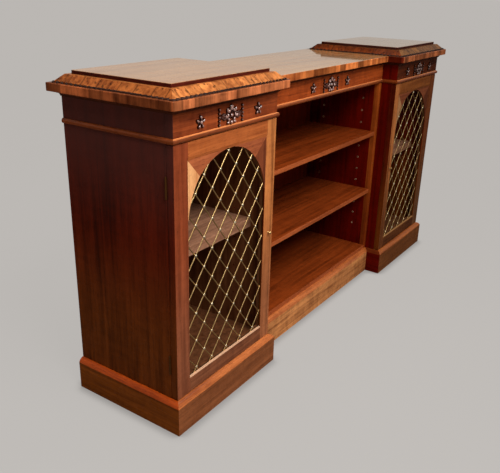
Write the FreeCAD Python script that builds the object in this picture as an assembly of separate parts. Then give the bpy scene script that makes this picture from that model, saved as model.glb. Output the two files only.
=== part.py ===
import FreeCAD, Part
import math
import os

# An inverted breakfront: two cupboards stand forward of the open bookcase between them.
# Millimetres, +Z up. The origin is on the floor under the middle of the tops, +X runs to the right
# along the front and +Y to the back, so the doors face -Y. The right-hand pieces are modelled, and
# the left-hand ones are their mirror images.

# Plan and heights
END_WIDTH = 440.0  # one cupboard, over its sides
BAY_WIDTH = 866.0  # the bookcase, between the cupboards
CARCASS_DEPTH = 370.0  # door faces to the backs
BREAK_DEPTH = 61.0  # door faces to the bookcase's front
CARCASS_HEIGHT = 780.0  # plinth to the underside of the tops
FRIEZE_HEIGHT = 82.0

# Boards
BOARD_THICKNESS = 18.0
BOTTOM_THICKNESS = 16.0
BACK_THICKNESS = 8.0
LIPPING_DEPTH = 20.0
ARRIS = 0.8  # rounding of the boards' edges

# Plinth
PLINTH_FACE_HEIGHT = 85.0
PLINTH_MOULDING_HEIGHT = 13.0
PLINTH_PROJECTION = 16.0
PLINTH_SEAT = 8.0  # how far the plinth reaches under the bottom boards
PLINTH_BULGE = 3.0

# Mouldings of the frieze
ASTRAGAL_HEIGHT = 14.0
ASTRAGAL_PROJECTION = 6.0
BED_HEIGHT = 12.0
BED_PROJECTION = 15.0
BED_LIP = 3.0  # flat edges above and below its hollow
BED_HOLLOW = 2.6

# Tops
TOP_THICKNESS = 22.0
TOP_OVERHANG = 27.0
TOP_RETURN_OVERHANG = 29.0
TOP_BACK_OVERHANG = 23.0
BAY_TOP_OVERHANG = 28.0
TOP_CORNER_RADIUS = 12.0
TOP_EDGE_RADIUS = 2.0
BEAD_MARGIN = 10.0  # edge of the top to the beaded strip
BEAD_WIDTH = 4.4
BEVEL_FOOT = 3.0
BEVEL_RUN = 19.6
BEVEL_RISE = 17.5
PANEL_LEDGE = 11.0
PANEL_THICKNESS = 9.5
PANEL_CORNER_RADIUS = 3.0

# Doors
DOOR_THICKNESS = 22.0
DOOR_REVEAL = 1.0  # door back to the carcass
DOOR_TOP_GAP = 1.5
DOOR_BOTTOM_GAP = 2.0
HINGE_STILE_WIDTH = 53.0
LOCK_STILE_WIDTH = 45.0
TOP_RAIL_WIDTH = 45.5
BOTTOM_RAIL_WIDTH = 46.0
FRAME_BEVEL_WIDTH = 8.0  # bevel of the frame round the opening
FRAME_BEVEL_DEPTH = 2.0
SPANDREL_RUN = 60.0  # the spandrels splay inwards by the fall over this run
SPANDREL_FALL = 3.6
SPANDREL_TIP = 20.0  # where the spandrel's feather ends stop, from the crown and from the springing
GRILLE_LIP = 7.0  # wood in front of the grille
GRILLE_REBATE = 8.0
GRILLE_BEAD_DEPTH = 8.0

# Grille
LATTICE_PITCH_X = 68.0
LATTICE_PITCH_Z = 83.2
LATTICE_CROWN = 9.0  # crown of the arch to the highest crossing
BAR_WIDTH = 4.4
BAR_THICKNESS = 2.0
STUD_RADIUS = 4.6
STUD_HEIGHT = 2.2
GRILLE_BORDER = 7.0
BORDER_SETBACK = 0.5

# Knob
KNOB_HEIGHT = 356.0  # above the door's bottom edge
KNOB_RADIUS = 4.8
KNOB_PROJECTION = 11.0
KNOB_PLATE_RADIUS = 3.8
KNOB_PLATE_THICKNESS = 1.2
KNOB_NECK_RADIUS = 2.2
KNOB_STEM_RADIUS = 2.5
KNOB_STEM_LENGTH = 14.0
STEM_CLEARANCE = 0.05

# Hinges
HINGE_LENGTH = 52.0
HINGE_INSET = 104.0  # end of the door to the middle of a hinge
DOOR_KNUCKLE = 20.0
KNUCKLE_GAP = 0.2
BARREL_RADIUS = 2.6
BARREL_CLEARANCE = 0.3
PIN_RADIUS = 1.2
PIN_CLEARANCE = 0.05
PIN_HEAD_RADIUS = 2.2
PIN_HEAD_HEIGHT = 2.0
LEAF_WIDTH = 16.0
LEAF_THICKNESS = 1.5
MORTISE_CLEARANCE = 0.2

# Ball catch
CATCH_INSET = 60.0  # top of the door to the catch
CATCH_RADIUS = 4.0
CATCH_LENGTH = 14.0
CATCH_CLEARANCE = 0.05
BALL_RADIUS = 3.0
BALL_PROJECTION = 1.5
BALL_CLEARANCE = 0.3

# Shelves and their pins
SHELF_THICKNESS = 16.0
CUPBOARD_SHELF_THICKNESS = 27.0
SHELF_CLEARANCE = 1.0
CUPBOARD_SHELF_SETBACK = 41.0
BAY_SHELF_SETBACK = 2.0
PEG_RADIUS = 2.5
PEG_CLEARANCE = 0.05
PEG_DEPTH = 10.0
PEG_REACH = 8.0
PEG_SETBACK = 65.0  # bay front, and back panel, to the rows of holes
PEG_FIRST = 89.0  # bottom board to the lowest hole
PEG_PITCH = 48.0
CUPBOARD_PEG_RISE = 14.0  # how much higher the rows stand in the cupboards
PEG_COUNT = 12
CUPBOARD_SHELF_HOLE = 5
LOWER_SHELF_HOLE = 3
UPPER_SHELF_HOLE = 8

# Carving on the friezes
CARVING_RELIEF = 5.0
ROSETTE_SPACING = 122.0
CARVING_DROP = 4.0  # below the middle of the face between the mouldings
ROSETTE_RADIUS = 12.0
ROSETTE_PETALS = 5
PETAL_RADIUS = 6.4
HEART_RADIUS = 9.0
BOSS_RADIUS = 5.0
BOSS_RELIEF = 7.5
WREATH_RADIUS = 21.0
WREATH_EYE = 11.0
SCROLL_RADIUS = 9.0
SCROLL_REACH = 27.0
LEAF_RADIUS = 6.0
LEAF_REACH = 40.0
HUSK_RADIUS = 5.0
HUSK_REACH = 49.0  # middle of the wreath to the hanging husks
HUSK_SPACING = 9.4
HUSK_COUNT = 5

# Places that follow from the sizes
PLINTH_HEIGHT = PLINTH_FACE_HEIGHT + PLINTH_MOULDING_HEIGHT
TOP_UNDERSIDE = PLINTH_HEIGHT + CARCASS_HEIGHT
TOP_SURFACE = TOP_UNDERSIDE + TOP_THICKNESS
FRIEZE_BOTTOM = TOP_UNDERSIDE - FRIEZE_HEIGHT
BOTTOM_SURFACE = PLINTH_HEIGHT + BOTTOM_THICKNESS
INNER = BAY_WIDTH / 2
OUTER = INNER + END_WIDTH
DOOR_FACE = -(TOP_OVERHANG + CARCASS_DEPTH + TOP_BACK_OVERHANG) / 2 + TOP_OVERHANG
BACK = DOOR_FACE + CARCASS_DEPTH
BACK_INSIDE = BACK - BACK_THICKNESS
BAY_FACE = DOOR_FACE + BREAK_DEPTH
DOOR_BACK = DOOR_FACE + DOOR_THICKNESS
CARCASS_FRONT = DOOR_BACK + DOOR_REVEAL
PLINTH_INSIDE = DOOR_FACE - CARCASS_FRONT - PLINTH_SEAT  # inner face, as an offset from the carcass

DOOR_BOTTOM = PLINTH_HEIGHT + DOOR_BOTTOM_GAP
DOOR_TOP = FRIEZE_BOTTOM - DOOR_TOP_GAP
END_MIDDLE = (INNER + OUTER) / 2
LOCK_EDGE = INNER + LOCK_STILE_WIDTH  # inner edges of the stiles
HINGE_EDGE = OUTER - HINGE_STILE_WIDTH
DOOR_MIDDLE = (LOCK_EDGE + HINGE_EDGE) / 2  # middle of the arch
CROWN = DOOR_TOP - TOP_RAIL_WIDTH
SILL = DOOR_BOTTOM + BOTTOM_RAIL_WIDTH
ARCH_RADIUS = (HINGE_EDGE - LOCK_EDGE) / 2
SPRINGING = CROWN - ARCH_RADIUS
GRILLE_FRONT = DOOR_FACE + GRILLE_LIP
GRILLE_BACK = GRILLE_FRONT + 2 * BAR_THICKNESS

HINGE_X = OUTER + BARREL_CLEARANCE + BARREL_RADIUS
HINGE_Y = (DOOR_BACK + CARCASS_FRONT) / 2
HINGE_HEIGHTS = (DOOR_BOTTOM + HINGE_INSET, DOOR_TOP - HINGE_INSET)
CATCH_X = INNER + BOARD_THICKNESS / 2
CATCH_Z = DOOR_TOP - CATCH_INSET
KNOB_X = INNER + LOCK_STILE_WIDTH / 2
KNOB_Z = DOOR_BOTTOM + KNOB_HEIGHT

PEG_FRONT = BAY_FACE + PEG_SETBACK
PEG_REAR = BACK_INSIDE - PEG_SETBACK
PEG_HEIGHTS = [BOTTOM_SURFACE + PEG_FIRST + PEG_PITCH * row for row in range(PEG_COUNT)]
CARVING_HEIGHT = (FRIEZE_BOTTOM + ASTRAGAL_HEIGHT + TOP_UNDERSIDE - BED_HEIGHT) / 2 - CARVING_DROP

# The carcass faces in plan, from the right-hand back corner round the front to the left-hand one
FACADE = [(OUTER, BACK), (OUTER, DOOR_FACE), (INNER, DOOR_FACE), (INNER, BAY_FACE),
          (-INNER, BAY_FACE), (-INNER, DOOR_FACE), (-OUTER, DOOR_FACE), (-OUTER, BACK)]
RIGHT_RUNS = slice(0, 3)
BAY_RUN = 3

ALONG_Y = FreeCAD.Vector(0, 1, 0)
ALONG_Z = FreeCAD.Vector(0, 0, 1)
SIDEWAYS = FreeCAD.Vector(1, 0, 0)
CENTRE = FreeCAD.Vector(0, 0, 0)

nodes = {}


def block(low, high):
    """A plain box between two corners."""
    size = [b - a for a, b in zip(low, high)]
    return Part.makeBox(*size, FreeCAD.Vector(*low))


def board(low, high, arris=ARRIS):
    """A box with its edges softened."""
    shape = block(low, high)
    return shape.makeFillet(arris, shape.Edges)


def rod(radius, start, length, direction):
    """A round bar from start along direction."""
    return Part.makeCylinder(radius, length, FreeCAD.Vector(*start), direction)


def outline(place, start, steps):
    """A closed face from start; a step is (end,) for a straight edge or (middle, end) for an arc."""
    edges = []
    here = start
    for step in steps + [(start,)]:
        end = step[-1]
        if len(step) == 2:
            edges.append(Part.Arc(place(*here), place(*step[0]), place(*end)).toShape())
        elif math.dist(here, end) > 0:
            edges.append(Part.makeLine(place(*here), place(*end)))
        here = end
    return Part.Face(Part.Wire(edges))


def bowed(start, end, rise):
    """The middle of an arc that stands off its chord by rise, to the left of its direction."""
    run, climb = end[0] - start[0], end[1] - start[1]
    length = math.hypot(run, climb)
    return ((start[0] + end[0]) / 2 - rise * climb / length,
            (start[1] + end[1]) / 2 + rise * run / length)


def mitred_runs(path, start, steps, closed=False):
    """Straight lengths of one section along a plan path, mitred where they meet.

    The section's points are (offset to the right of the path, height).
    """
    count = len(path) if closed else len(path) - 1
    points = [start] + [point for step in steps for point in step]
    reach = [min(p[0] for p in points), max(p[0] for p in points)]
    levels = [min(p[1] for p in points), max(p[1] for p in points)]
    normals = []
    for index in range(count):
        ax, ay = path[index]
        bx, by = path[(index + 1) % len(path)]
        length = math.hypot(bx - ax, by - ay)
        normals.append(((ay - by) / length, (bx - ax) / length))

    def corner(index, offset):
        before = normals[index - 1] if closed or index > 0 else normals[index]
        after = normals[index % len(path)] if closed or index < count else normals[index - 1]
        share = 1 + before[0] * after[0] + before[1] * after[1]
        x, y = path[index % len(path)]
        return FreeCAD.Vector(x + offset * (before[0] + after[0]) / share,
                              y + offset * (before[1] + after[1]) / share, levels[0])

    runs = []
    for index in range(count):
        nx, ny = normals[index]
        along = FreeCAD.Vector(ny, -nx, 0)
        ax, ay = path[index]
        bx, by = path[(index + 1) % len(path)]
        spare = max(abs(reach[0]), abs(reach[1]))
        origin = FreeCAD.Vector(ax, ay, 0) - along * spare
        face = outline(lambda u, v: origin + FreeCAD.Vector(nx * u, ny * u, v), start, steps)
        length = math.hypot(bx - ax, by - ay) + 2 * spare
        plan = [corner(index, reach[0]), corner(index, reach[1]),
                corner(index + 1, reach[1]), corner(index + 1, reach[0])]
        footprint = Part.Face(Part.makePolygon(plan + plan[:1])).extrude(ALONG_Z * (levels[1] - levels[0]))
        runs.append(face.extrude(along * length).common(footprint).Solids[0])
    return runs


def mirrored(shape):
    return shape.mirror(CENTRE, SIDEWAYS)


def add(name, *shapes):
    """One node; several shapes stay separate solids."""
    nodes[name] = shapes[0] if len(shapes) == 1 else Part.makeCompound(list(shapes))


def add_pair(name, *shapes):
    """A right-hand node and its left-hand image."""
    add("right_" + name, *shapes)
    add("left_" + name, *[mirrored(shape) for shape in shapes])


def cut_all(shape, tools):
    for tool in tools:
        shape = shape.cut(tool)
    return shape


def peg_holes(x, direction, fronts, rise=0.0):
    """Two rows of shelf-pin holes in a board face at x; direction points into the board."""
    return [rod(PEG_RADIUS + PEG_CLEARANCE, (x, y, z + rise), PEG_DEPTH, direction)
            for y in fronts for z in PEG_HEIGHTS]


def shelf_pegs(x, direction, hole, rise=0.0):
    """The two pins of one shelf end, in a board face at x; direction points into the board."""
    start = FreeCAD.Vector(x, 0, PEG_HEIGHTS[hole] + rise) - direction * PEG_REACH
    return [rod(PEG_RADIUS, start + ALONG_Y * y, PEG_REACH + PEG_DEPTH, direction)
            for y in (PEG_FRONT, PEG_REAR)]


def hinge_mortise(z, y):
    """The shallow housing of one hinge leaf, from y backwards."""
    reach = HINGE_LENGTH / 2 + MORTISE_CLEARANCE
    return block((OUTER - LEAF_WIDTH - MORTISE_CLEARANCE, y, z - reach),
                 (OUTER, y + LEAF_THICKNESS, z + reach))


def cupboard():
    """The boards of one end cupboard."""
    inside = INNER + BOARD_THICKNESS
    outside = OUTER - BOARD_THICKNESS
    rows = (PEG_FRONT, PEG_REAR)
    side = board((outside, CARCASS_FRONT, PLINTH_HEIGHT), (OUTER, BACK, TOP_UNDERSIDE))
    mortises = [hinge_mortise(z, CARCASS_FRONT) for z in HINGE_HEIGHTS]
    add_pair("outer_side", cut_all(side, mortises + peg_holes(outside, SIDEWAYS, rows, CUPBOARD_PEG_RISE)))
    side = board((INNER, CARCASS_FRONT, PLINTH_HEIGHT), (inside, BACK, TOP_UNDERSIDE))
    bore = rod(CATCH_RADIUS + CATCH_CLEARANCE, (CATCH_X, CARCASS_FRONT, CATCH_Z), CATCH_LENGTH, ALONG_Y)
    add_pair("inner_side", cut_all(side, [bore] + peg_holes(inside, -SIDEWAYS, rows, CUPBOARD_PEG_RISE)))
    add_pair("bottom", board((inside, CARCASS_FRONT, PLINTH_HEIGHT),
                             (outside, BACK_INSIDE, BOTTOM_SURFACE)))
    add_pair("back", block((inside, BACK_INSIDE, PLINTH_HEIGHT), (outside, BACK, TOP_UNDERSIDE)))
    add_pair("frieze", board((INNER, DOOR_FACE, FRIEZE_BOTTOM), (OUTER, CARCASS_FRONT, TOP_UNDERSIDE)))
    seat = PEG_HEIGHTS[CUPBOARD_SHELF_HOLE] + CUPBOARD_PEG_RISE + PEG_RADIUS
    low = (inside + SHELF_CLEARANCE, CARCASS_FRONT + CUPBOARD_SHELF_SETBACK, seat)
    high = (outside - SHELF_CLEARANCE, BACK_INSIDE - SHELF_CLEARANCE, seat + CUPBOARD_SHELF_THICKNESS)
    add_pair("shelf", board(low, high))
    return (shelf_pegs(outside, SIDEWAYS, CUPBOARD_SHELF_HOLE, CUPBOARD_PEG_RISE)
            + shelf_pegs(inside, -SIDEWAYS, CUPBOARD_SHELF_HOLE, CUPBOARD_PEG_RISE))


def bookcase():
    """The open centre between the cupboards."""
    wall = INNER - BOARD_THICKNESS
    front = BAY_FACE + LIPPING_DEPTH
    upright = board((wall, front, PLINTH_HEIGHT), (INNER, BACK, TOP_UNDERSIDE))
    add_pair("bay_upright", cut_all(upright, peg_holes(wall, SIDEWAYS, (PEG_FRONT, PEG_REAR))))
    lipping = board((wall, BAY_FACE, PLINTH_HEIGHT), (INNER, front, FRIEZE_BOTTOM))
    add("bay_lippings", lipping, mirrored(lipping))
    add("bay_bottom", board((-wall, BAY_FACE, PLINTH_HEIGHT), (wall, BACK_INSIDE, BOTTOM_SURFACE)))
    add("bay_back", block((-wall, BACK_INSIDE, PLINTH_HEIGHT), (wall, BACK, TOP_UNDERSIDE)))
    add("bay_frieze", board((-INNER, BAY_FACE, FRIEZE_BOTTOM), (INNER, front, TOP_UNDERSIDE)))
    end = wall - SHELF_CLEARANCE
    for name, hole in (("bay_shelf_lower", LOWER_SHELF_HOLE), ("bay_shelf_upper", UPPER_SHELF_HOLE)):
        seat = PEG_HEIGHTS[hole] + PEG_RADIUS
        add(name, board((-end, BAY_FACE + BAY_SHELF_SETBACK, seat),
                        (end, BACK_INSIDE - SHELF_CLEARANCE, seat + SHELF_THICKNESS)))
    return shelf_pegs(wall, SIDEWAYS, LOWER_SHELF_HOLE) + shelf_pegs(wall, SIDEWAYS, UPPER_SHELF_HOLE)


def plinth_and_mouldings():
    """The plinth and the mouldings that break round the front."""
    toe = (PLINTH_PROJECTION, PLINTH_FACE_HEIGHT)
    face = mitred_runs(FACADE, (PLINTH_INSIDE, 0), [((PLINTH_PROJECTION, 0),), (toe,),
                                                    ((PLINTH_INSIDE, PLINTH_FACE_HEIGHT),)])
    add_pair("plinth", *face[RIGHT_RUNS])
    add("bay_plinth", face[BAY_RUN])
    end = OUTER + PLINTH_INSIDE
    add("plinth_back_rail", block((-end, BACK - BOARD_THICKNESS, 0), (end, BACK, PLINTH_HEIGHT)))
    rim = (0, PLINTH_HEIGHT)
    add("plinth_moulding", *mitred_runs(FACADE, (PLINTH_INSIDE, PLINTH_FACE_HEIGHT), [
        (toe,), (bowed(toe, rim, -PLINTH_BULGE), rim), ((PLINTH_INSIDE, PLINTH_HEIGHT),)]))
    foot = (0, FRIEZE_BOTTOM)
    head = (0, FRIEZE_BOTTOM + ASTRAGAL_HEIGHT)
    nose = (ASTRAGAL_PROJECTION, FRIEZE_BOTTOM + ASTRAGAL_HEIGHT / 2)
    add("astragal_moulding", *mitred_runs(FACADE, foot, [(nose, head)]))
    low = (BED_LIP, TOP_UNDERSIDE - BED_HEIGHT)
    high = (BED_PROJECTION, TOP_UNDERSIDE - BED_LIP)
    add("bed_moulding", *mitred_runs(FACADE, (0, low[1]), [
        (low,), (bowed(low, high, BED_HOLLOW), high),
        ((BED_PROJECTION, TOP_UNDERSIDE),), ((0, TOP_UNDERSIDE),)]))


def upright_edges(shape, places):
    """The edges of a shape that stand upright at the given places in plan."""
    return [edge for edge in shape.Edges for x, y in places
            if math.dist(edge.CenterOfMass[:2], (x, y)) < ARRIS and edge.BoundBox.XLength < ARRIS]


def level_edges(shape, *heights):
    """The edges of a shape that lie at the given heights."""
    return [edge for edge in shape.Edges for z in heights
            if abs(edge.BoundBox.ZMin - z) + abs(edge.BoundBox.ZMax - z) < ARRIS]


def tops():
    """The polished tops, with a bevelled frame and a raised panel over each cupboard."""
    left, right = INNER - TOP_RETURN_OVERHANG, OUTER + TOP_OVERHANG
    front, rear = DOOR_FACE - TOP_OVERHANG, BACK + TOP_BACK_OVERHANG
    slab = block((left, front, TOP_UNDERSIDE), (right, rear, TOP_SURFACE))
    corners = [(left, front), (right, front)]
    slab = slab.makeFillet(TOP_CORNER_RADIUS, upright_edges(slab, corners))
    slab = slab.makeFillet(TOP_EDGE_RADIUS, level_edges(slab, TOP_UNDERSIDE, TOP_SURFACE))
    add_pair("top_slab", slab)
    slab = block((-left, BAY_FACE - BAY_TOP_OVERHANG, TOP_UNDERSIDE), (left, rear, TOP_SURFACE))
    add("bay_top_slab", slab.makeFillet(TOP_EDGE_RADIUS, level_edges(slab, TOP_UNDERSIDE, TOP_SURFACE)))

    def inset(offset):
        return left + offset, front + offset, right - offset, rear - offset

    x0, y0, x1, y1 = inset(BEAD_MARGIN + BEAD_WIDTH)
    ring = [(x1, y1), (x1, y0), (x0, y0), (x0, y1)]
    beads = mitred_runs(ring, (0, TOP_SURFACE), [
        ((BEAD_WIDTH / 2, TOP_SURFACE + BEAD_WIDTH / 2), (BEAD_WIDTH, TOP_SURFACE))], closed=True)
    add("top_beads", *beads, *[mirrored(bead) for bead in beads])
    shoulder = TOP_SURFACE + BEVEL_FOOT
    ledge = shoulder + BEVEL_RISE
    foot = block((x0, y0, TOP_SURFACE), (x1, y1, shoulder))
    bevel_start = BEAD_MARGIN + BEAD_WIDTH
    bevel_end = bevel_start + BEVEL_RUN
    rims = []
    for offset, z in ((bevel_start, shoulder), (bevel_end, ledge)):
        x0, y0, x1, y1 = inset(offset)
        rims.append(Part.makePolygon([FreeCAD.Vector(x, y, z) for x, y in (
            (x0, y0), (x1, y0), (x1, y1), (x0, y1), (x0, y0))]))
    add_pair("bevelled_frame", foot.fuse(Part.makeLoft(rims, True, True)).removeSplitter())
    x0, y0, x1, y1 = inset(bevel_end + PANEL_LEDGE)
    panel = block((x0, y0, ledge), (x1, y1, ledge + PANEL_THICKNESS))
    corners = [(x0, y0), (x1, y0), (x1, y1), (x0, y1)]
    panel = panel.makeFillet(PANEL_CORNER_RADIUS, upright_edges(panel, corners))
    rim = level_edges(panel, ledge + PANEL_THICKNESS)
    add_pair("raised_panel", panel.makeFillet(TOP_EDGE_RADIUS, rim))


def arch(offset, front, rear):
    """The door's arched opening as a solid, grown by offset all round, between two depths."""
    half = ARCH_RADIUS + offset
    low = SILL - offset
    face = outline(lambda x, z: FreeCAD.Vector(DOOR_MIDDLE + x, front, z), (-half, low), [
        ((half, low),), ((half, SPRINGING),), ((0, SPRINGING + half), (-half, SPRINGING))])
    return face.extrude(ALONG_Y * (rear - front))


def splayed_recess(rim, floor, front, depth):
    """A shallow recess with sloping sides; its rim and floor are set in from the frame's opening."""
    wires = []
    for inset, y in ((rim, front), (floor, front + depth)):
        x0, x1 = LOCK_EDGE + inset, HINGE_EDGE - inset
        z0, z1 = SILL + inset, CROWN - inset
        wires.append(Part.makePolygon([FreeCAD.Vector(x, y, z) for x, z in (
            (x0, z0), (x1, z0), (x1, z1), (x0, z1), (x0, z0))]))
    return Part.makeLoft(wires, True, True)


def door_frame():
    """Stiles, rails and the spandrels over the arch."""
    rebate = arch(GRILLE_REBATE, GRILLE_FRONT, DOOR_BACK)
    bevel = splayed_recess(-FRAME_BEVEL_WIDTH, 0, DOOR_FACE, FRAME_BEVEL_DEPTH)
    stile = board((HINGE_EDGE, DOOR_FACE, DOOR_BOTTOM), (OUTER, DOOR_BACK, DOOR_TOP))
    mortises = [hinge_mortise(z, DOOR_BACK - LEAF_THICKNESS) for z in HINGE_HEIGHTS]
    add_pair("door_hinge_stile", cut_all(stile, [rebate, bevel] + mortises))
    stile = board((INNER, DOOR_FACE, DOOR_BOTTOM), (LOCK_EDGE, DOOR_BACK, DOOR_TOP))
    ball = FreeCAD.Vector(CATCH_X, CARCASS_FRONT - BALL_PROJECTION + BALL_RADIUS, CATCH_Z)
    dimple = Part.makeSphere(BALL_RADIUS + BALL_CLEARANCE, ball)
    stem = rod(KNOB_STEM_RADIUS + STEM_CLEARANCE, (KNOB_X, DOOR_FACE, KNOB_Z), KNOB_STEM_LENGTH, ALONG_Y)
    add_pair("door_lock_stile", cut_all(stile, [rebate, bevel, dimple, stem]))
    rail = board((LOCK_EDGE, DOOR_FACE, CROWN), (HINGE_EDGE, DOOR_BACK, DOOR_TOP))
    add_pair("door_top_rail", cut_all(rail, [rebate, bevel]))
    rail = board((LOCK_EDGE, DOOR_FACE, DOOR_BOTTOM), (HINGE_EDGE, DOOR_BACK, SILL))
    add_pair("door_bottom_rail", cut_all(rail, [rebate, bevel]))
    opening = arch(0, DOOR_FACE, DOOR_BACK)
    front = DOOR_FACE + FRAME_BEVEL_DEPTH
    splay = splayed_recess(0, SPANDREL_RUN, front, SPANDREL_FALL)
    spandrels = []
    for left, right in ((LOCK_EDGE, DOOR_MIDDLE - SPANDREL_TIP), (DOOR_MIDDLE + SPANDREL_TIP, HINGE_EDGE)):
        corner = block((left, front, SPRINGING + SPANDREL_TIP), (right, DOOR_BACK, CROWN))
        spandrels.append(cut_all(corner, [opening, rebate, splay]).Solids[0])
    add_pair("door_spandrels", *spandrels)


def grille():
    """The brass lattice, its border in the rebate and the wooden bead that holds it there."""
    half_x, half_z = LATTICE_PITCH_X / 2, LATTICE_PITCH_Z / 2
    crown = CROWN - LATTICE_CROWN
    reach = CROWN - SILL
    slope = math.degrees(math.atan2(half_z, half_x))
    field = arch(GRILLE_BORDER, GRILLE_FRONT - STUD_HEIGHT, GRILLE_BACK)
    columns = math.ceil((ARCH_RADIUS + reach * half_x / half_z) / LATTICE_PITCH_X)
    bars = []
    for lean, front in ((-1, GRILLE_FRONT), (1, GRILLE_FRONT + BAR_THICKNESS)):
        for column in range(-columns, columns + 1):
            bar = block((-2 * reach, 0, -BAR_WIDTH / 2), (2 * reach, BAR_THICKNESS, BAR_WIDTH / 2))
            bar.rotate(CENTRE, ALONG_Y, lean * slope)
            bar.translate(FreeCAD.Vector(DOOR_MIDDLE + column * LATTICE_PITCH_X, front, crown))
            bars += bar.common(field).Solids
    opening = arch(-STUD_RADIUS, GRILLE_FRONT - STUD_HEIGHT, GRILLE_BACK)
    studs = []
    for row in range(math.ceil(reach / half_z)):
        for column in range(-columns, columns + 1):
            x = DOOR_MIDDLE + (column + row % 2 / 2) * LATTICE_PITCH_X
            centre = FreeCAD.Vector(x, GRILLE_FRONT, crown - row * half_z)
            if opening.isInside(centre, STUD_HEIGHT / 2, False):
                studs.append(Part.makeCone(STUD_RADIUS, STUD_RADIUS / 2, STUD_HEIGHT, centre, -ALONG_Y))
    border = arch(GRILLE_BORDER, GRILLE_FRONT, GRILLE_BACK)
    border = border.cut(arch(BORDER_SETBACK, GRILLE_FRONT, GRILLE_BACK))
    add_pair("door_grille", border.multiFuse(bars + studs).removeSplitter())
    rear = GRILLE_BACK + GRILLE_BEAD_DEPTH
    add_pair("door_grille_bead", arch(GRILLE_REBATE, GRILLE_BACK, rear).cut(arch(0, GRILLE_BACK, rear)))


def knob():
    """A turned brass knob with its back plate and stem."""
    plate = rod(KNOB_PLATE_RADIUS, (KNOB_X, DOOR_FACE, KNOB_Z), KNOB_PLATE_THICKNESS, -ALONG_Y)
    neck = rod(KNOB_NECK_RADIUS, (KNOB_X, DOOR_FACE, KNOB_Z), KNOB_PROJECTION - KNOB_RADIUS, -ALONG_Y)
    stem = rod(KNOB_STEM_RADIUS, (KNOB_X, DOOR_FACE, KNOB_Z), KNOB_STEM_LENGTH, ALONG_Y)
    middle = FreeCAD.Vector(KNOB_X, DOOR_FACE - KNOB_PROJECTION + KNOB_RADIUS, KNOB_Z)
    ball = Part.makeSphere(KNOB_RADIUS, middle)
    add_pair("door_knob", plate.multiFuse([neck, stem, ball]).removeSplitter())


def hinge_leaf(z, y, knuckles):
    """A hinge leaf with its knuckles, each (low, high) from the hinge's middle."""
    half = HINGE_LENGTH / 2
    leaf = block((OUTER - LEAF_WIDTH, y, z - half), (OUTER, y + LEAF_THICKNESS, z + half))
    for low, high in knuckles:
        tongue = block((OUTER, y, z + low), (HINGE_X, y + LEAF_THICKNESS, z + high))
        barrel = rod(BARREL_RADIUS, (HINGE_X, HINGE_Y, z + low), high - low, ALONG_Z)
        leaf = leaf.multiFuse([tongue, barrel])
    bore = rod(PIN_RADIUS + PIN_CLEARANCE, (HINGE_X, HINGE_Y, z - half), HINGE_LENGTH, ALONG_Z)
    return leaf.cut(bore).removeSplitter()


def hinges():
    """Two butt hinges to a door: the pins stay in the carcass leaves."""
    half = HINGE_LENGTH / 2
    middle = DOOR_KNUCKLE / 2
    outer = [(-half, -middle - KNUCKLE_GAP), (middle + KNUCKLE_GAP, half)]
    door = [hinge_leaf(z, DOOR_BACK - LEAF_THICKNESS, [(-middle, middle)]) for z in HINGE_HEIGHTS]
    frame = [hinge_leaf(z, CARCASS_FRONT, outer) for z in HINGE_HEIGHTS]
    pins = []
    for z in HINGE_HEIGHTS:
        pin = rod(PIN_RADIUS, (HINGE_X, HINGE_Y, z - half), HINGE_LENGTH, ALONG_Z)
        heads = [rod(PIN_HEAD_RADIUS, (HINGE_X, HINGE_Y, end), PIN_HEAD_HEIGHT, ALONG_Z)
                 for end in (z - half - PIN_HEAD_HEIGHT, z + half)]
        pins.append(pin.multiFuse(heads).removeSplitter())
    add_pair("door_hinge_leaves", *door)
    add("frame_hinge_leaves", *frame, *[mirrored(leaf) for leaf in frame])
    add("hinge_pins", *pins, *[mirrored(pin) for pin in pins])


def catches():
    """A ball catch in the front edge of each cupboard's inner side."""
    body = rod(CATCH_RADIUS, (CATCH_X, CARCASS_FRONT, CATCH_Z), CATCH_LENGTH, ALONG_Y)
    centre = FreeCAD.Vector(CATCH_X, CARCASS_FRONT - BALL_PROJECTION + BALL_RADIUS, CATCH_Z)
    catch = body.fuse(Part.makeSphere(BALL_RADIUS, centre)).removeSplitter()
    add("ball_catches", catch, mirrored(catch))


def disc(x, z, radius, relief, face):
    """A round of the carving, standing out of a frieze's face."""
    return rod(radius, (x, face, z), relief, -ALONG_Y)


def rosette(x, face):
    """A round flower: a ring of petals about a boss."""
    petals = []
    for index in range(ROSETTE_PETALS):
        angle = math.pi / 2 + 2 * math.pi * index / ROSETTE_PETALS
        across = ROSETTE_RADIUS * math.cos(angle)
        rise = ROSETTE_RADIUS * math.sin(angle)
        petals.append(disc(x + across, CARVING_HEIGHT + rise, PETAL_RADIUS, CARVING_RELIEF, face))
    heart = disc(x, CARVING_HEIGHT, HEART_RADIUS, CARVING_RELIEF, face)
    boss = disc(x, CARVING_HEIGHT, BOSS_RADIUS, BOSS_RELIEF, face)
    return heart.multiFuse(petals + [boss]).removeSplitter()


def wreath(x, face):
    """A wreath with a scroll, a leaf and a string of hanging husks to each side."""
    ring = disc(x, CARVING_HEIGHT, WREATH_RADIUS, CARVING_RELIEF, face)
    sprays = []
    for side in (-1, 1):
        for reach, radius in ((SCROLL_REACH, SCROLL_RADIUS), (LEAF_REACH, LEAF_RADIUS)):
            sprays.append(disc(x + side * reach, CARVING_HEIGHT, radius, CARVING_RELIEF, face))
        for index in range(HUSK_COUNT):
            z = CARVING_HEIGHT + (index - (HUSK_COUNT - 1) / 2) * HUSK_SPACING
            sprays.append(disc(x + side * HUSK_REACH, z, HUSK_RADIUS, CARVING_RELIEF, face))
    eye = disc(x, CARVING_HEIGHT, WREATH_EYE, CARVING_RELIEF, face)
    return ring.multiFuse(sprays).cut(eye).removeSplitter()


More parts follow.
